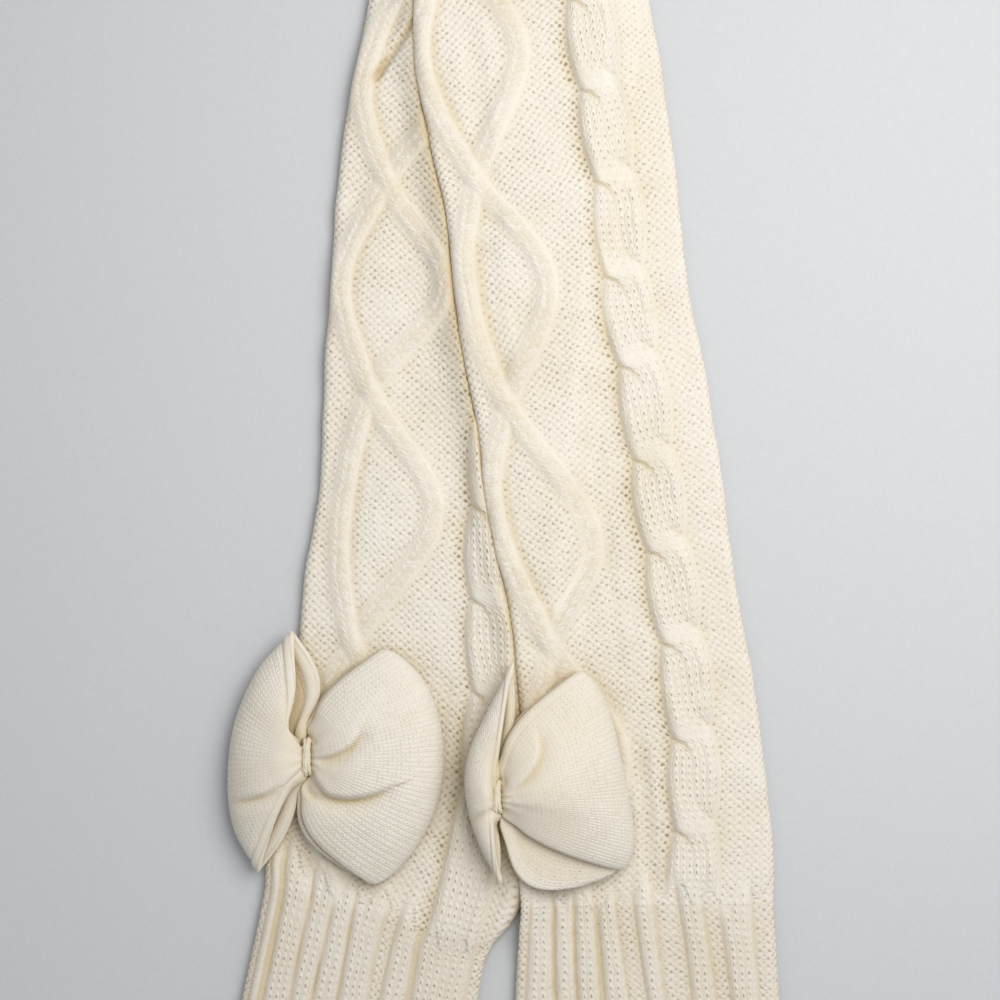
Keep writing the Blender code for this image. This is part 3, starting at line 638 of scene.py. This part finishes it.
def knit_tube(leg, part, stops, settings):
    """The shell of one part of a leg: its outer face, the rims at its ends and its plain inner face."""
    start = getattr(leg, part.start) + (0.0 if part.open_end == "start" else SEAM)
    end = getattr(leg, part.end) - (0.0 if part.open_end == "end" else SEAM)
    y = np.linspace(start, end, part.rows)[:, None]
    half = read(leg.lie, "half", y)
    flat = half - FOLD
    round_fold = FOLD * (math.pi - stops.angle)
    lead = np.where(stops.lead >= 0.0, 1.0, -1.0)
    arc = np.where(stops.angle > 0.0, flat * stops.lead + lead * round_fold,
                   lead * (flat * (2.0 - np.abs(stops.lead)) + FOLD * math.pi))
    across = flat * stops.lead + FOLD * stops.side * np.sin(stops.angle)
    x, world_y = on_surface(leg, y, across)
    y_all = np.broadcast_to(y, across.shape)

    ground = ripple(x, world_y) + soft_troughs(leg, y, across)
    none = np.zeros_like(ground)
    cloth = Cloth(ground, none, y_all / (settings.course / MM), none, none, none, none)
    cloth = rope(leg, cloth, y_all, across, arc, settings)
    cloth = lattice(leg, cloth, y_all, arc, settings)
    cloth = ribs(leg, cloth, y_all, arc / flat, flat, settings)
    u, v = loose_stitches(cloth.u, cloth.v)
    front = smooth_step((stops.angle - math.radians(45)) / math.radians(90))
    macro = cloth.height * front
    stitches = stitch_relief(u, v, cloth.knit) * (1.0 - cloth.plain) + 0.5 * cloth.plain
    fine = settings.stitch_depth / MM * stitches
    heap, shaded, holes = between_legs(leg, x, world_y, stops)
    raised = (macro + fine * smooth_step(stops.angle / 0.9)) * pressed(leg, x, world_y) + heap
    outer = tube_points(leg, y, stops, half, 0.0, THICK, raised)
    # Painted shade: in the relief's hollows, in creases, dips and grooves, and beside the right leg's edge; a
    # little less where stitches don't show
    hollow_shade = 0.5 * hollows(macro, 3, 1.6) + (cloth.tone - 0.12 * cloth.plain) * front + shaded
    marks = stacked(u, v, cloth.knit)
    shade_tones = stacked(hollow_shade, cloth.hole + holes, cloth.plain)

    inner_y = np.linspace(end, start, part.inner_rows)[:, None]
    inner = tube_points(leg, inner_y, stops, read(leg.lie, "half", inner_y) - WALL, WALL, WALL + HOLLOW, 0.0)
    inner_marks = stacked(u[0], inner_y / (settings.course / MM), 0.0)
    # The inner face gets painted shade all over
    inner_shade_tones = np.broadcast_to(np.array([0.8, 0.0, 0.0]), inner.shape)
    rows = [(outer, marks, shade_tones)]
    for which, at, facing in (("end", -1, 1.0), ("start", 0, -1.0)):
        a, b = (outer[-1], inner[0]) if which == "end" else (inner[-1], outer[0])
        if which == part.open_end:
            for turn in half_turn(RIM_POINTS):
                rim = between(a, b, turn)
                rim[:, 1] += facing * RIM_ROUND * math.sin(turn) * (1.0 + 0.25 * np.cos(TAU * u[at]))
                rows.append((rim[None], marks[at][None], np.zeros_like(rim)[None]))
        else:
            seam = outer[at][None] + np.array([0.0, SEAM_ROUND * facing, 0.0])
            rows.append((seam, marks[at][None], shade_tones[at][None]))
        if which == "end":
            rows.append((inner, inner_marks, inner_shade_tones))
    return [np.concatenate(column) for column in zip(*rows)]


# ---- bows

def polyline(points, count=24):
    """A smooth line through a few points."""
    keys = np.arange(len(points), dtype=float)
    at = np.linspace(0.0, keys[-1], count)
    return np.stack([curve_value(keys, [p[k] for p in points], at) for k in (0, 1)], -1)


def beside_line(x, y, line):
    """Distance from a line, positive on its left, and how far along it the nearest place is, 0 to 1."""
    best = np.full(x.shape, 1e9)
    signed, along = np.zeros(x.shape), np.zeros(x.shape)
    for k, (a, b) in enumerate(zip(line[:-1], line[1:])):
        dx, dy = b - a
        t = np.clip(((x - a[0]) * dx + (y - a[1]) * dy) / (dx * dx + dy * dy), 0.0, 1.0)
        off_x, off_y = x - a[0] - dx * t, y - a[1] - dy * t
        distance = np.hypot(off_x, off_y)
        nearer = distance < best
        best = np.where(nearer, distance, best)
        signed = np.where(nearer, distance * np.sign(dx * off_y - dy * off_x), signed)
        along = np.where(nearer, (k + t) / (len(line) - 1), along)
    return signed, along


def folds(x, y, creases, wing):
    """Height and painted shade of the folds that run out from the wrap: each puffs up on its left over a step
    down.
    """
    height, tone = 0.0, 0.0
    for crease in creases:
        if crease.wing != wing:
            continue
        distance, along = beside_line(x, y, polyline(crease.points))
        ends = np.sin(math.pi * np.clip(along * 0.9 + 0.05, 0.0, 1.0)) ** 0.6
        puff = crease.lift * (1.0 - np.exp(-np.abs(distance) / 1.6)) * np.exp(-np.abs(distance) / crease.half)
        hollow = crease.depth * hump(distance, np.where(distance > 0.0, 1.7, crease.half * 0.45))
        height = height + ends * (np.where(distance > 0.0, puff, 0.0) - hollow)
        line = hump(distance + 0.2, 1.3)
        line = line + 0.45 * np.exp(-np.maximum(-distance, 0.0) / 3.0) * (distance < 0.0)
        tone = tone + 0.3 * ends**2 * line * min(crease.depth / 2.4, 1.2)
    return height, tone


def swell(out, early):
    """How far an edge swells out along a wing: when early is below 1, most of it near the wrap."""
    return np.sin(math.pi * (np.maximum(out - LOOSE_FROM, 0.0) / (1.0 - LOOSE_FROM)) ** early)


def wing_surface(bow, wing, line, out, layer):
    """Places on the outer face of a wing: the underside is layer 0 and the top layer 1."""
    rays = bow.right_wing if wing > 0 else bow.left_wing
    keys = np.linspace(-1.0, 1.0, len(rays))
    ray = Ray(*(curve_value(keys, column, line) for column in zip(*rays)))
    curled = bow.curl * (0.5 + 0.5 * layer) * (wing < 0) * smooth_step(-line * 2.0 - 1.0)
    start_x, start_y = wing * WAIST, -line * bow.pinch * (1.0 - 0.1 * curled)
    reach = 1.0 - (0.02 * line**6 + 0.06 * line**16) * (wing > 0)
    dx, dy = ray.x * reach - start_x, ray.y * reach - start_y
    length = np.hypot(dx, dy)
    aside = ray.bulge * swell(out, 0.65) + ray.lip * swell(out, 0.9) * (1.0 - layer) * np.sign(-line * wing)
    aside = aside + curled * hump(out - 0.17, 0.22) * smooth_step(out / 0.06)
    x = start_x + dx * out - dy / length * aside
    y = start_y + dy * out + dx / length * aside
    x = x - wing * 2.4 * line**8 * hump(out - 0.08, 0.06)
    opened = 1.0 - (1.0 - np.minimum(out / 0.42, 1.0)) ** 2.4
    full = bow.pinch_height + (ray.puff - bow.pinch_height) * opened
    full = full + 1.5 * smooth_step(out / 0.045) * (1.0 - line**4) * hump(out, 0.15)
    edge = np.sqrt(np.maximum(1.0 - out**16, 0.0))
    closing = np.sqrt(np.maximum(1.0 - out**4, 0.0))
    if wing > 0:
        tucked = bow.tuck * smooth_step(out / 0.2) * (1.0 - np.sqrt(1.0 - np.abs(line) ** 6))
        closing = closing * (1.0 - tucked)
    height = WING_EDGE * edge + (full - WING_EDGE) * closing
    rounding = 0.6 * line**4 * height * (1.0 - smooth_step(out / 0.3))
    low = bow.z + (ray.foot - bow.z) * out**1.8 + rounding / 2 + WING_EDGE / 2 * (1.0 - edge)
    height = height - rounding
    if layer:
        free = smooth_step(out / 0.12) * np.sqrt(np.maximum(1.0 - out**6, 0.0))
        gathers = 0.3 * np.exp(-out / 0.16) * np.cos(TAU * 2.6 * line + 2.0 * out + 2.0 * wing)
        height = height + free * (folds(x, y, bow.creases, wing)[0] + 0.8 * ripple(bow.x + x, y)) + gathers
    return stacked(bow.x + x, bow.y + y, low + height * layer)


def strip_outs(count):
    """Even steps out along a wing that close up round its fold."""
    straight = 0.82
    q = np.linspace(0.0, 1.0, count)
    closing = straight + (1 - straight) / 2 * (1.0 - ((1.0 - q) / (1 - straight)) ** 2)
    return np.where(q < straight, q, closing) / ((1.0 + straight) / 2)


def unit(vectors):
    """Vectors at length 1."""
    return vectors / np.maximum(np.linalg.norm(vectors, axis=-1, keepdims=True), 1e-9)


def rolled_edge(start, end, outward, bulge):
    """Points round an edge of the strip, from one of its faces to the other."""
    return np.stack([between(start, end, turn) + unit(outward) * (bulge * math.sin(turn) ** 0.8)[:, None]
                     for turn in half_turn(EDGE_POINTS)], 1)


def knit_strip(bow, settings):
    """The strip: round both wings and the waist, with rolled selvedges, as one closed shell."""
    lines = np.linspace(-1.0, 1.0, STRIP_WALE_POINTS * settings.wales + 1)
    fine, coarse = (strip_outs(count) for count in WING_POINTS)
    path = ((1, fine, 1.0), (1, coarse[::-1][1:], 0.0), (-1, coarse[:-1], 0.0), (-1, fine[::-1], 1.0))
    outer = np.concatenate([wing_surface(bow, wing, *np.meshgrid(lines, outs), layer)
                            for wing, outs, layer in path])
    outs = np.concatenate([outs for _, outs, _ in path])
    sides, tops = (np.concatenate([np.full(len(part[1]), part[k]) for part in path])[:, None] for k in (0, 2))
    across = np.gradient(outer, axis=1)
    normal = unit(np.cross(across, np.roll(outer, -1, 0) - np.roll(outer, 1, 0)))
    normal = normal * np.sign(normal[10, len(lines) // 2, 2])

    middle = outer[:, len(lines) // 2]
    course = np.cumsum(np.linalg.norm(middle - np.roll(middle, 1, 0), axis=1)) / (settings.strip_course / MM)
    u, v = np.broadcast_arrays((lines + 1.0) / 2 * settings.wales + 0.5, course[:, None])
    steps = np.linalg.norm(np.diff(outer, axis=1), axis=2)
    from_upper = np.concatenate([np.zeros((len(outer), 1)), np.cumsum(steps, 1)], 1)
    width = from_upper[:, -1:]
    from_edge = np.minimum(from_upper, width - from_upper)
    spread = width / settings.wales / STRIP_WALE

    # Rolled selvedges show on some edges and are tucked under on others
    upper = from_upper < width / 2
    bands, cavities = (
        np.where(sides > 0, np.where(upper, values[0], values[2]), np.where(upper, values[1], values[3]))
        for values in (bow.bands, bow.cavities))
    shown = bands * np.minimum(spread * 4.0, 1.0)
    reach = SELVEDGE - 0.6 * tops
    band = np.clip(1.0 - ((from_edge - 0.75 * reach) / reach) ** 2, 0.0, 1.0) ** 0.5
    relief = shown * (0.7 * band - 0.4 * hump(from_edge - 2.0 * reach, 1.1))
    patterned = 1.0 - 0.7 * shown * (1.0 - smooth_step((from_edge - 1.6 * reach) / 1.0))
    patterned = patterned * np.clip((spread - 0.2) / 0.7, 0.0, 1.0)
    stitches = stitch_relief(u, v, 1.0, 0.2) * patterned
    face = outer + normal * (relief + settings.strip_depth / MM * stitches)[..., None]

    thick = (STRIP_THICK - 0.9 * smooth_step((outs - 0.93) / 0.07))[:, None] + 1.2 * shown * band * (1.0 - tops)
    inner = (outer - normal * thick[..., None])[:, ::-1][:, ::2]
    marks = stacked(u, v, np.ones_like(u))
    local_x, local_y = outer[..., 0] - bow.x, outer[..., 1] - bow.y
    # Painted shade along the creases and in the top layer's hollows, and on the inner face inside the folded
    # edges
    dark_shade = np.where(sides > 0, *(folds(local_x, local_y, bow.creases, wing)[1] for wing in (1, -1)))
    hollow_shade = (0.7 * hollows(outer[..., 2] + relief, 3, 1.6) + dark_shade) * tops
    shade = stacked(hollow_shade, 0 * hollow_shade, 1.0 - patterned)
    inside = stacked(cavities * smooth_step((from_edge - 4.0) / 2.5), 0 * hollow_shade, 1.0 - patterned)
    inside = inside[:, ::-1][:, ::2]
    lower_edge = rolled_edge(face[:, -1], inner[:, 0], across[:, -1], 0.9 + 1.0 * shown[:, -1])
    upper_edge = rolled_edge(inner[:, -1], face[:, 0], -across[:, 0], 0.9 + 1.0 * shown[:, 0])
    plain_edge = np.zeros_like(lower_edge) + np.array([0.0, 0.0, 1.0])
    return (np.concatenate([face, lower_edge, inner, upper_edge], 1),
            np.concatenate([marks, 0 * plain_edge, marks[:, ::-1][:, ::2], 0 * plain_edge], 1),
            np.concatenate([shade, plain_edge, inside, plain_edge], 1))


def superellipse(turn, squareness=0.55):
    """A rounded square loop of half size 1."""
    c, s = np.cos(turn), np.sin(turn)
    return np.sign(c) * np.abs(c) ** squareness, np.sign(s) * np.abs(s) ** squareness


def wound_yarn(bow, turns, settings):
    """Turns of two-ply yarn round a bow's waist, side by side and a little uneven."""
    grids = []
    radius = settings.wrap_yarn / MM / 2
    for number in range(turns):
        t, s = (np.linspace(0.0, TAU, count, endpoint=False) for count in YARN_POINTS)
        t, s = t[:, None], s[None, :]
        place = (number - (turns - 1) / 2) * 1.4 * radius
        wander = 0.45 * np.sin(t + 1.7 * number) + 0.25 * np.sin(2 * t + number)
        stand = 0.15 + radius + 0.3 * (number % 2)
        ply = radius * (1.0 + 0.16 * np.cos(2 * s - 14 * t))
        ey, ez = superellipse(t)
        size_y, size_z = bow.pinch + stand, bow.pinch_height / 2 + stand
        grids.append(stacked(
            bow.x + place + wander + ply * np.sin(s),
            bow.y + size_y * ey + ply * np.cos(s) * np.cos(t),
            bow.z + bow.pinch_height / 2 + size_z * ez + ply * np.cos(s) * np.sin(t)))
    return grids


# ---- materials

def linear(hex_colour):
    """An sRGB hex colour as linear red, green, blue and alpha."""
    parts = [int(hex_colour[k:k + 2], 16) / 255 for k in (1, 3, 5)]
    return (*(c / 12.92 if c <= 0.04045 else ((c + 0.055) / 1.055) ** 2.4 for c in parts), 1.0)


def add(tree, kind, inputs=(), operation=None, **settings):
    """One shader node with its settings, as its outputs; an input is a value to set or an output to link."""
    node = tree.nodes.new("ShaderNode" + kind)
    if operation:
        node.operation = operation
    for name, value in settings.items():
        setattr(node, name, value)
    for key, value in inputs.items() if isinstance(inputs, dict) else enumerate(inputs):
        if isinstance(value, bpy.types.NodeSocket):
            tree.links.new(value, node.inputs[key])
        else:
            node.inputs[key].default_value = value
    return node.outputs


def principled(name):
    """A new material, what adds nodes to it, its links and its shader."""
    material = bpy.data.materials.new(name)
    material.use_nodes = True
    tree = material.node_tree
    return material, partial(add, tree), tree.links, tree.nodes["Principled BSDF"]


def wool(name):
    """Soft-spun cream wool: matt, with a pale halo of fibres at grazing angles, and warmer painted shade in
    every hollow.
    """
    yarn = WOOLS[name]
    material, node, links, shader = principled(name)
    stitch = node("Attribute", attribute_name="stitch")["Vector"]
    shades = node("Attribute", attribute_name="shade")["Vector"]
    tone = node("SeparateXYZ", (shades,))
    knit = node("SeparateXYZ", (stitch,))["Z"]
    place = node("TexCoord")["Object"]

    # Hand knitting is uneven: each stitch wanders a little in its cell
    wander = node("TexNoise", {"Vector": stitch, "Scale": 0.9, "Detail": 1.0})["Color"]
    moved = node("VectorMath", (wander, (0.30, 0.30, 0.0), stitch), "MULTIPLY_ADD")[0]

    # Holes, painted dark as shade: one where the yarn dives between two stitches and a fainter one half a
    # stitch along, lower down; round in purl, long in knit
    purl_size = (yarn.cell[0], yarn.cell[1] * 1.25, 0.0)
    knit_size = (yarn.cell[0] * 1.5, yarn.cell[1] * 0.75, 0.0)
    stitch_size = node("Mix", {"Factor": knit, 4: purl_size, 5: knit_size}, data_type="VECTOR")[1]
    ladder = node("Math", (tone["Y"], 0.35, yarn.hole_reach), "MULTIPLY_ADD")[0]
    hole, centred = None, None
    for offset, strength, change in (((0.5, -0.42, 0.0), 0.85, -0.85), ((0.0, 0.0, 0.0), 1.0, 0.0)):
        shifted = node("VectorMath", (moved, offset))[0]
        cell_place = node("VectorMath", (shifted,), "FRACTION")[0]
        centred = node("VectorMath", (cell_place, (0.5, 0.5, 0.5)), "SUBTRACT")[0]
        number = node("VectorMath", (shifted,), "FLOOR")[0]
        luck = node("TexWhiteNoise", {"Vector": number}, noise_dimensions="2D")["Value"]
        in_mm = node("VectorMath", (centred, stitch_size), "MULTIPLY")[0]
        distance = node("VectorMath", (in_mm,), "LENGTH")["Value"]
        reach = node("Math", (luck, 0.35, ladder), "MULTIPLY_ADD")[0]
        dot = node("MapRange", {"Value": distance, "From Min": reach, "From Max": 0.0},
                   interpolation_type="SMOOTHSTEP")[0]
        some = node("Math", (luck, 1.1 * strength, 0.35 * strength), "MULTIPLY_ADD")[0]
        dot = node("Math", (dot, some), "MULTIPLY")[0]
        in_knit = node("Math", (knit, change, 1.0), "MULTIPLY_ADD")[0]
        dot = node("Math", (dot, in_knit), "MULTIPLY")[0]
        hole = dot if hole is None else node("Math", (hole, dot), "MAXIMUM")[0]

    # Purl loops lie in scalloped rows; knit ones stand in columns of V's
    turn = node("VectorMath", (centred, (TAU, TAU, TAU)), "MULTIPLY")[0]
    turns = node("SeparateXYZ", (turn,))
    across = node("Math", (turns["X"],), "COSINE")[0]
    along = node("Math", (turns["Y"],), "COSINE")[0]
    up = node("SeparateXYZ", (moved,))["Y"]
    scallop = node("Math", (across, -SCALLOP, up), "MULTIPLY_ADD")[0]
    row_turn = node("Math", (scallop, TAU, SCALLOP * TAU), "MULTIPLY_ADD")[0]
    row = node("Math", (row_turn,), "COSINE")[0]
    bump_place = node("Math", (across, along), "MULTIPLY")[0]
    purl = node("Math", (row, 0.18, 0.5), "MULTIPLY_ADD")[0]
    purl = node("Math", (bump_place, -0.32, purl), "MULTIPLY_ADD")[0]
    in_column = node("Math", (across, 0.5, 0.5), "MULTIPLY_ADD")[0]
    column = node("Math", (in_column, 0.35), "POWER")[0]
    aside = node("Math", (turns["X"],), "ABSOLUTE")[0]
    leg_turn = node("Math", (up, TAU, aside), "MULTIPLY_ADD")[0]
    leg_wave = node("Math", (leg_turn,), "COSINE")[0]
    leg_height = node("Math", (leg_wave, yarn.legs, 1.0 - yarn.legs), "MULTIPLY_ADD")[0]
    knitted = node("Math", (column, leg_height), "MULTIPLY")[0]
    loops = node("Mix", {0: knit, 2: purl, 3: knitted})[0]
    loops = node("Math", (hole, -0.9, loops), "MULTIPLY_ADD")[0]
    patterned = node("Math", (1.0, tone["Z"]), "SUBTRACT", use_clamp=True)[0]
    loops = node("Math", (loops, patterned), "MULTIPLY")[0]

    # Colour: cream where lit, with painted warm shade in hollows and between loops and painted dark shade in
    # the holes, uneven as spun wool is
    uneven = node("TexNoise", {"Vector": place, "Scale": 24.0, "Detail": 5.0, "Roughness": 0.65})
    fibre = node("TexNoise", {"Vector": place, "Scale": 1000.0 / yarn.fuzz, "Detail": 3.0,
                              "Roughness": 0.7})["Fac"]
    mottle = node("Math", (uneven["Fac"], fibre), "ADD")[0]
    mottle_and_loop_shade = node("Math", (mottle, 0.75, -0.54), "MULTIPLY_ADD")[0]
    mottle_and_loop_shade = node("Math", (loops, -0.22, mottle_and_loop_shade), "MULTIPLY_ADD")[0]
    # Painted shade where little light reaches, read from ambient occlusion and added to the painted shade of
    # the hollows
    open_to_light = node("AmbientOcclusion", {"Distance": 0.016}, samples=3)["AO"]
    occlusion_shade = node("MapRange", {"Value": open_to_light, "From Min": 0.82, "From Max": 0.15, "To Max": 0.95})[0]
    hollow_shade = node("Math", (occlusion_shade, tone["X"]), "ADD")[0]
    shade_and_mottle = node("Math", (hollow_shade, mottle_and_loop_shade), use_clamp=True)[0]
    body = node("Mix", {0: shade_and_mottle, 6: linear(yarn.lit), 7: linear(yarn.shade)}, data_type="RGBA")[2]
    strong = node("MapRange", {"Value": uneven["Fac"], "From Min": 0.35, "From Max": 0.65,
                               "To Min": 0.45 * yarn.hole_depth, "To Max": 1.55 * yarn.hole_depth})[0]
    strong = node("Math", (tone["Y"], 0.42, strong), "MULTIPLY_ADD")[0]
    more = node("Math", (knit, yarn.knit_holes, 1.0), "MULTIPLY_ADD")[0]
    strong = node("Math", (strong, more), "MULTIPLY")[0]
    dark_shade = node("Math", (hole, strong), "MULTIPLY")[0]
    dark_shade = node("Math", (dark_shade, patterned), "MULTIPLY")[0]
    crevice = node("Math", (hollow_shade, 1.0), "SUBTRACT", use_clamp=True)[0]
    dark_shade = node("Math", (dark_shade, crevice), use_clamp=True)[0]
    colour = node("Mix", {0: dark_shade, 6: body, 7: linear(yarn.holes)}, data_type="RGBA")[2]
    links.new(colour, shader.inputs["Base Color"])

    # Relief: the loops, then fibres as coarse as they need to be to show
    total = node("Math", (fibre, 1.1, loops), "MULTIPLY_ADD")[0]
    relief = node("Bump", {"Strength": 1.0, "Distance": yarn.bump * MM, "Height": total})["Normal"]
    links.new(relief, shader.inputs["Normal"])
    for name, value in (("Roughness", 0.95), ("IOR", 1.45), ("Specular IOR Level", 0.15),
                        ("Sheen Weight", 0.25), ("Sheen Roughness", 0.5)):
        shader.inputs[name].default_value = value
    return material


# ---- what a user can change

def size(name, description, default):
    """A length that a user can change."""
    return bpy.props.FloatProperty(name=name, description=description, default=default, unit="LENGTH")


class KnitSettings(bpy.types.PropertyGroup):
    """Sizes of the hand-knit legs and cuffs."""
    course: size("Course height", "Height of one row of stitches", 0.00345)
    stitch_depth: size("Stitch depth", "How far one stitch stands out", 0.0003)
    strand_height: size("Lattice height", "How far the diamonds' strands stand out", 0.0024)
    cable_height: size("Cable height", "How far the rope cable stands out", 0.003)
    rib_height: size("Rib height", "How far the cuffs' ribs stand out", 0.002)


class BowSettings(bpy.types.PropertyGroup):
    """Sizes of the fine-knit bows and of the yarn round their waists."""
    wales: bpy.props.IntProperty(name="Wales", description="Columns of stitches across the strip",
                                 default=50, min=20)
    strip_course: size("Course height", "Height of one row of the fine knit", 0.002)
    strip_depth: size("Stitch depth", "How far one fine stitch stands out", 0.00017)
    wrap_yarn: size("Wrap yarn", "Thickness of the yarn round the waist", 0.0020)


class TableSettings(bpy.types.PropertyGroup):
    """The light on the table."""
    key_power: bpy.props.FloatProperty(name="Soft light", description="Power of the large soft light",
                                       default=5.95, unit="POWER")
    sky: bpy.props.FloatProperty(name="Room light", description="Strength of the light from all round",
                                 default=0.5)


def stand_for(piece, solid):
    """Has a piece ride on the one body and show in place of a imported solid."""
    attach(piece, "root")
    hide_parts(solid)


def knit_part(side, part, material, settings):
    """Knits one part of a leg as a piece."""
    stops = stops_round(UNDER_POINTS[side], FOLD_POINTS, WALE_POINTS * FRONT_WALES + 1)
    points, marks, shade_tones = knit_tube(LEGS[side], part, stops, settings)
    piece = closed_mesh(f"{side}_{part.name}_knit", [points], material, [marks], [shade_tones])
    stand_for(piece, f"{side}_{part.name}")


class LEGWARMERS_OT_legs(bpy.types.Operator):
    """Knit the two legs: purl ground, diamond lattice and rope cable"""
    bl_idname = "legwarmers.legs"
    bl_label = "Knit the Legs"

    def execute(self, context):
        material = wool("aran_wool_purl_and_cable")
        for side in LEGS:
            knit_part(side, PARTS[0], material, context.scene.leg_warmer_knit)
        return {"FINISHED"}


class LEGWARMERS_OT_cuffs(bpy.types.Operator):
    """Knit the four ribbed cuffs"""
    bl_idname = "legwarmers.cuffs"
    bl_label = "Knit the Cuffs"

    def execute(self, context):
        material = wool("aran_wool_rib")
        for side in LEGS:
            for part in PARTS[1:]:
                knit_part(side, part, material, context.scene.leg_warmer_knit)
        return {"FINISHED"}


class LEGWARMERS_OT_bows(bpy.types.Operator):
    """Fold a fine-knit strip to each bow"""
    bl_idname = "legwarmers.bows"
    bl_label = "Fold the Bows"

    def execute(self, context):
        material = wool("fine_stockinette_wool")
        for side, bow in BOWS.items():
            points, marks, shade_tones = knit_strip(bow, context.scene.leg_warmer_bow)
            piece = closed_mesh(side + "_bow_knit", [points], material, [marks], [shade_tones])
            stand_for(piece, side + "_bow")
        return {"FINISHED"}


class LEGWARMERS_OT_wraps(bpy.types.Operator):
    """Wind yarn round the waist of each bow"""
    bl_idname = "legwarmers.wraps"
    bl_label = "Wind the Wraps"

    def execute(self, context):
        material = wool("two_ply_wool_yarn")
        for side, bow in BOWS.items():
            grids = wound_yarn(bow, 3, context.scene.leg_warmer_bow)
            piece = closed_mesh(side + "_bow_wrap_yarn", grids, material)
            stand_for(piece, side + "_bow_wrap")
        return {"FINISHED"}


class LEGWARMERS_OT_table(bpy.types.Operator):
    """Set the pale table, the soft light and the camera above"""
    bl_idname = "legwarmers.table"
    bl_label = "Set the Table, Light and Camera"

    def execute(self, context):
        settings = context.scene.leg_warmer_table
        scene = context.scene
        mesh = bpy.data.meshes.new("table")
        mesh.from_pydata([(x * TABLE_HALF, y * TABLE_HALF, -TABLE_GAP)
                          for x, y in ((-1, -1), (1, -1), (1, 1), (-1, 1))], [], [(0, 1, 2, 3)])
        placed("table", mesh)

        # Painted board: matt pale grey with a faint fleck
        material, node, links, shader = principled("painted_board")
        place = node("TexCoord")["Object"]
        fleck = node("TexNoise", {"Vector": place, "Scale": 900.0, "Detail": 2.0})["Fac"]
        tint = node("Mix", {0: fleck, 6: linear("#BBBDC0"), 7: linear("#C6C8CB")}, data_type="RGBA")[2]
        links.new(tint, shader.inputs["Base Color"])
        shader.inputs["Roughness"].default_value = 0.7
        mesh.materials.append(material)

        light = bpy.data.lights.new("window", "AREA")
        light.shape, light.size, light.size_y = "RECTANGLE", WINDOW, WINDOW
        light.energy = settings.key_power
        light.color = (1.0, 0.985, 0.96)
        window = placed("window", light, WINDOW_PLACE)
        window.rotation_euler = (-window.location).to_track_quat("-Z", "Y").to_euler()

        world = bpy.data.worlds.new("room")
        world.use_nodes = True
        background = world.node_tree.nodes["Background"]
        background.inputs["Color"].default_value = (0.97, 0.985, 1.0, 1.0)
        background.inputs["Strength"].default_value = settings.sky
        scene.world = world
        scene.view_settings.view_transform = "Standard"

        lens = bpy.data.cameras.new("camera")
        lens.sensor_width = 36.0
        lens.lens = lens.sensor_width / 2 / (HALF_VIEW / VIEW_HEIGHT)
        scene.camera = placed("camera", lens, CAMERA_PLACE)
        return {"FINISHED"}


class LEGWARMERS_PT_panel(bpy.types.Panel):
    """Lists the sizes and the steps"""
    bl_idname = "LEGWARMERS_PT_panel"
    bl_label = "Leg Warmers"
    bl_space_type = "VIEW_3D"
    bl_region_type = "UI"
    bl_category = "Leg Warmers"

    def draw(self, context):
        for name in GROUPS:
            group, box = getattr(context.scene, name), self.layout.box()
            for setting in group.__annotations__:
                box.prop(group, setting)
        for step in STEPS:
            self.layout.operator(step.bl_idname)


GROUPS = {"leg_warmer_knit": KnitSettings, "leg_warmer_bow": BowSettings,
          "leg_warmer_table": TableSettings}
STEPS = (LEGWARMERS_OT_legs, LEGWARMERS_OT_cuffs, LEGWARMERS_OT_bows, LEGWARMERS_OT_wraps,
         LEGWARMERS_OT_table)


def register():
    for kind in (*GROUPS.values(), *STEPS, LEGWARMERS_PT_panel):
        bpy.utils.register_class(kind)
    for name, kind in GROUPS.items():
        setattr(bpy.types.Scene, name, bpy.props.PointerProperty(type=kind))


def unregister():
    for name in GROUPS:
        delattr(bpy.types.Scene, name)
    for kind in (LEGWARMERS_PT_panel, *reversed(STEPS), *GROUPS.values()):
        bpy.utils.unregister_class(kind)


def main():
    register()
    bpy.ops.legwarmers.legs()
    bpy.ops.legwarmers.cuffs()
    bpy.ops.legwarmers.bows()
    bpy.ops.legwarmers.wraps()
    bpy.ops.legwarmers.table()


if __name__ == "__main__":
    main()
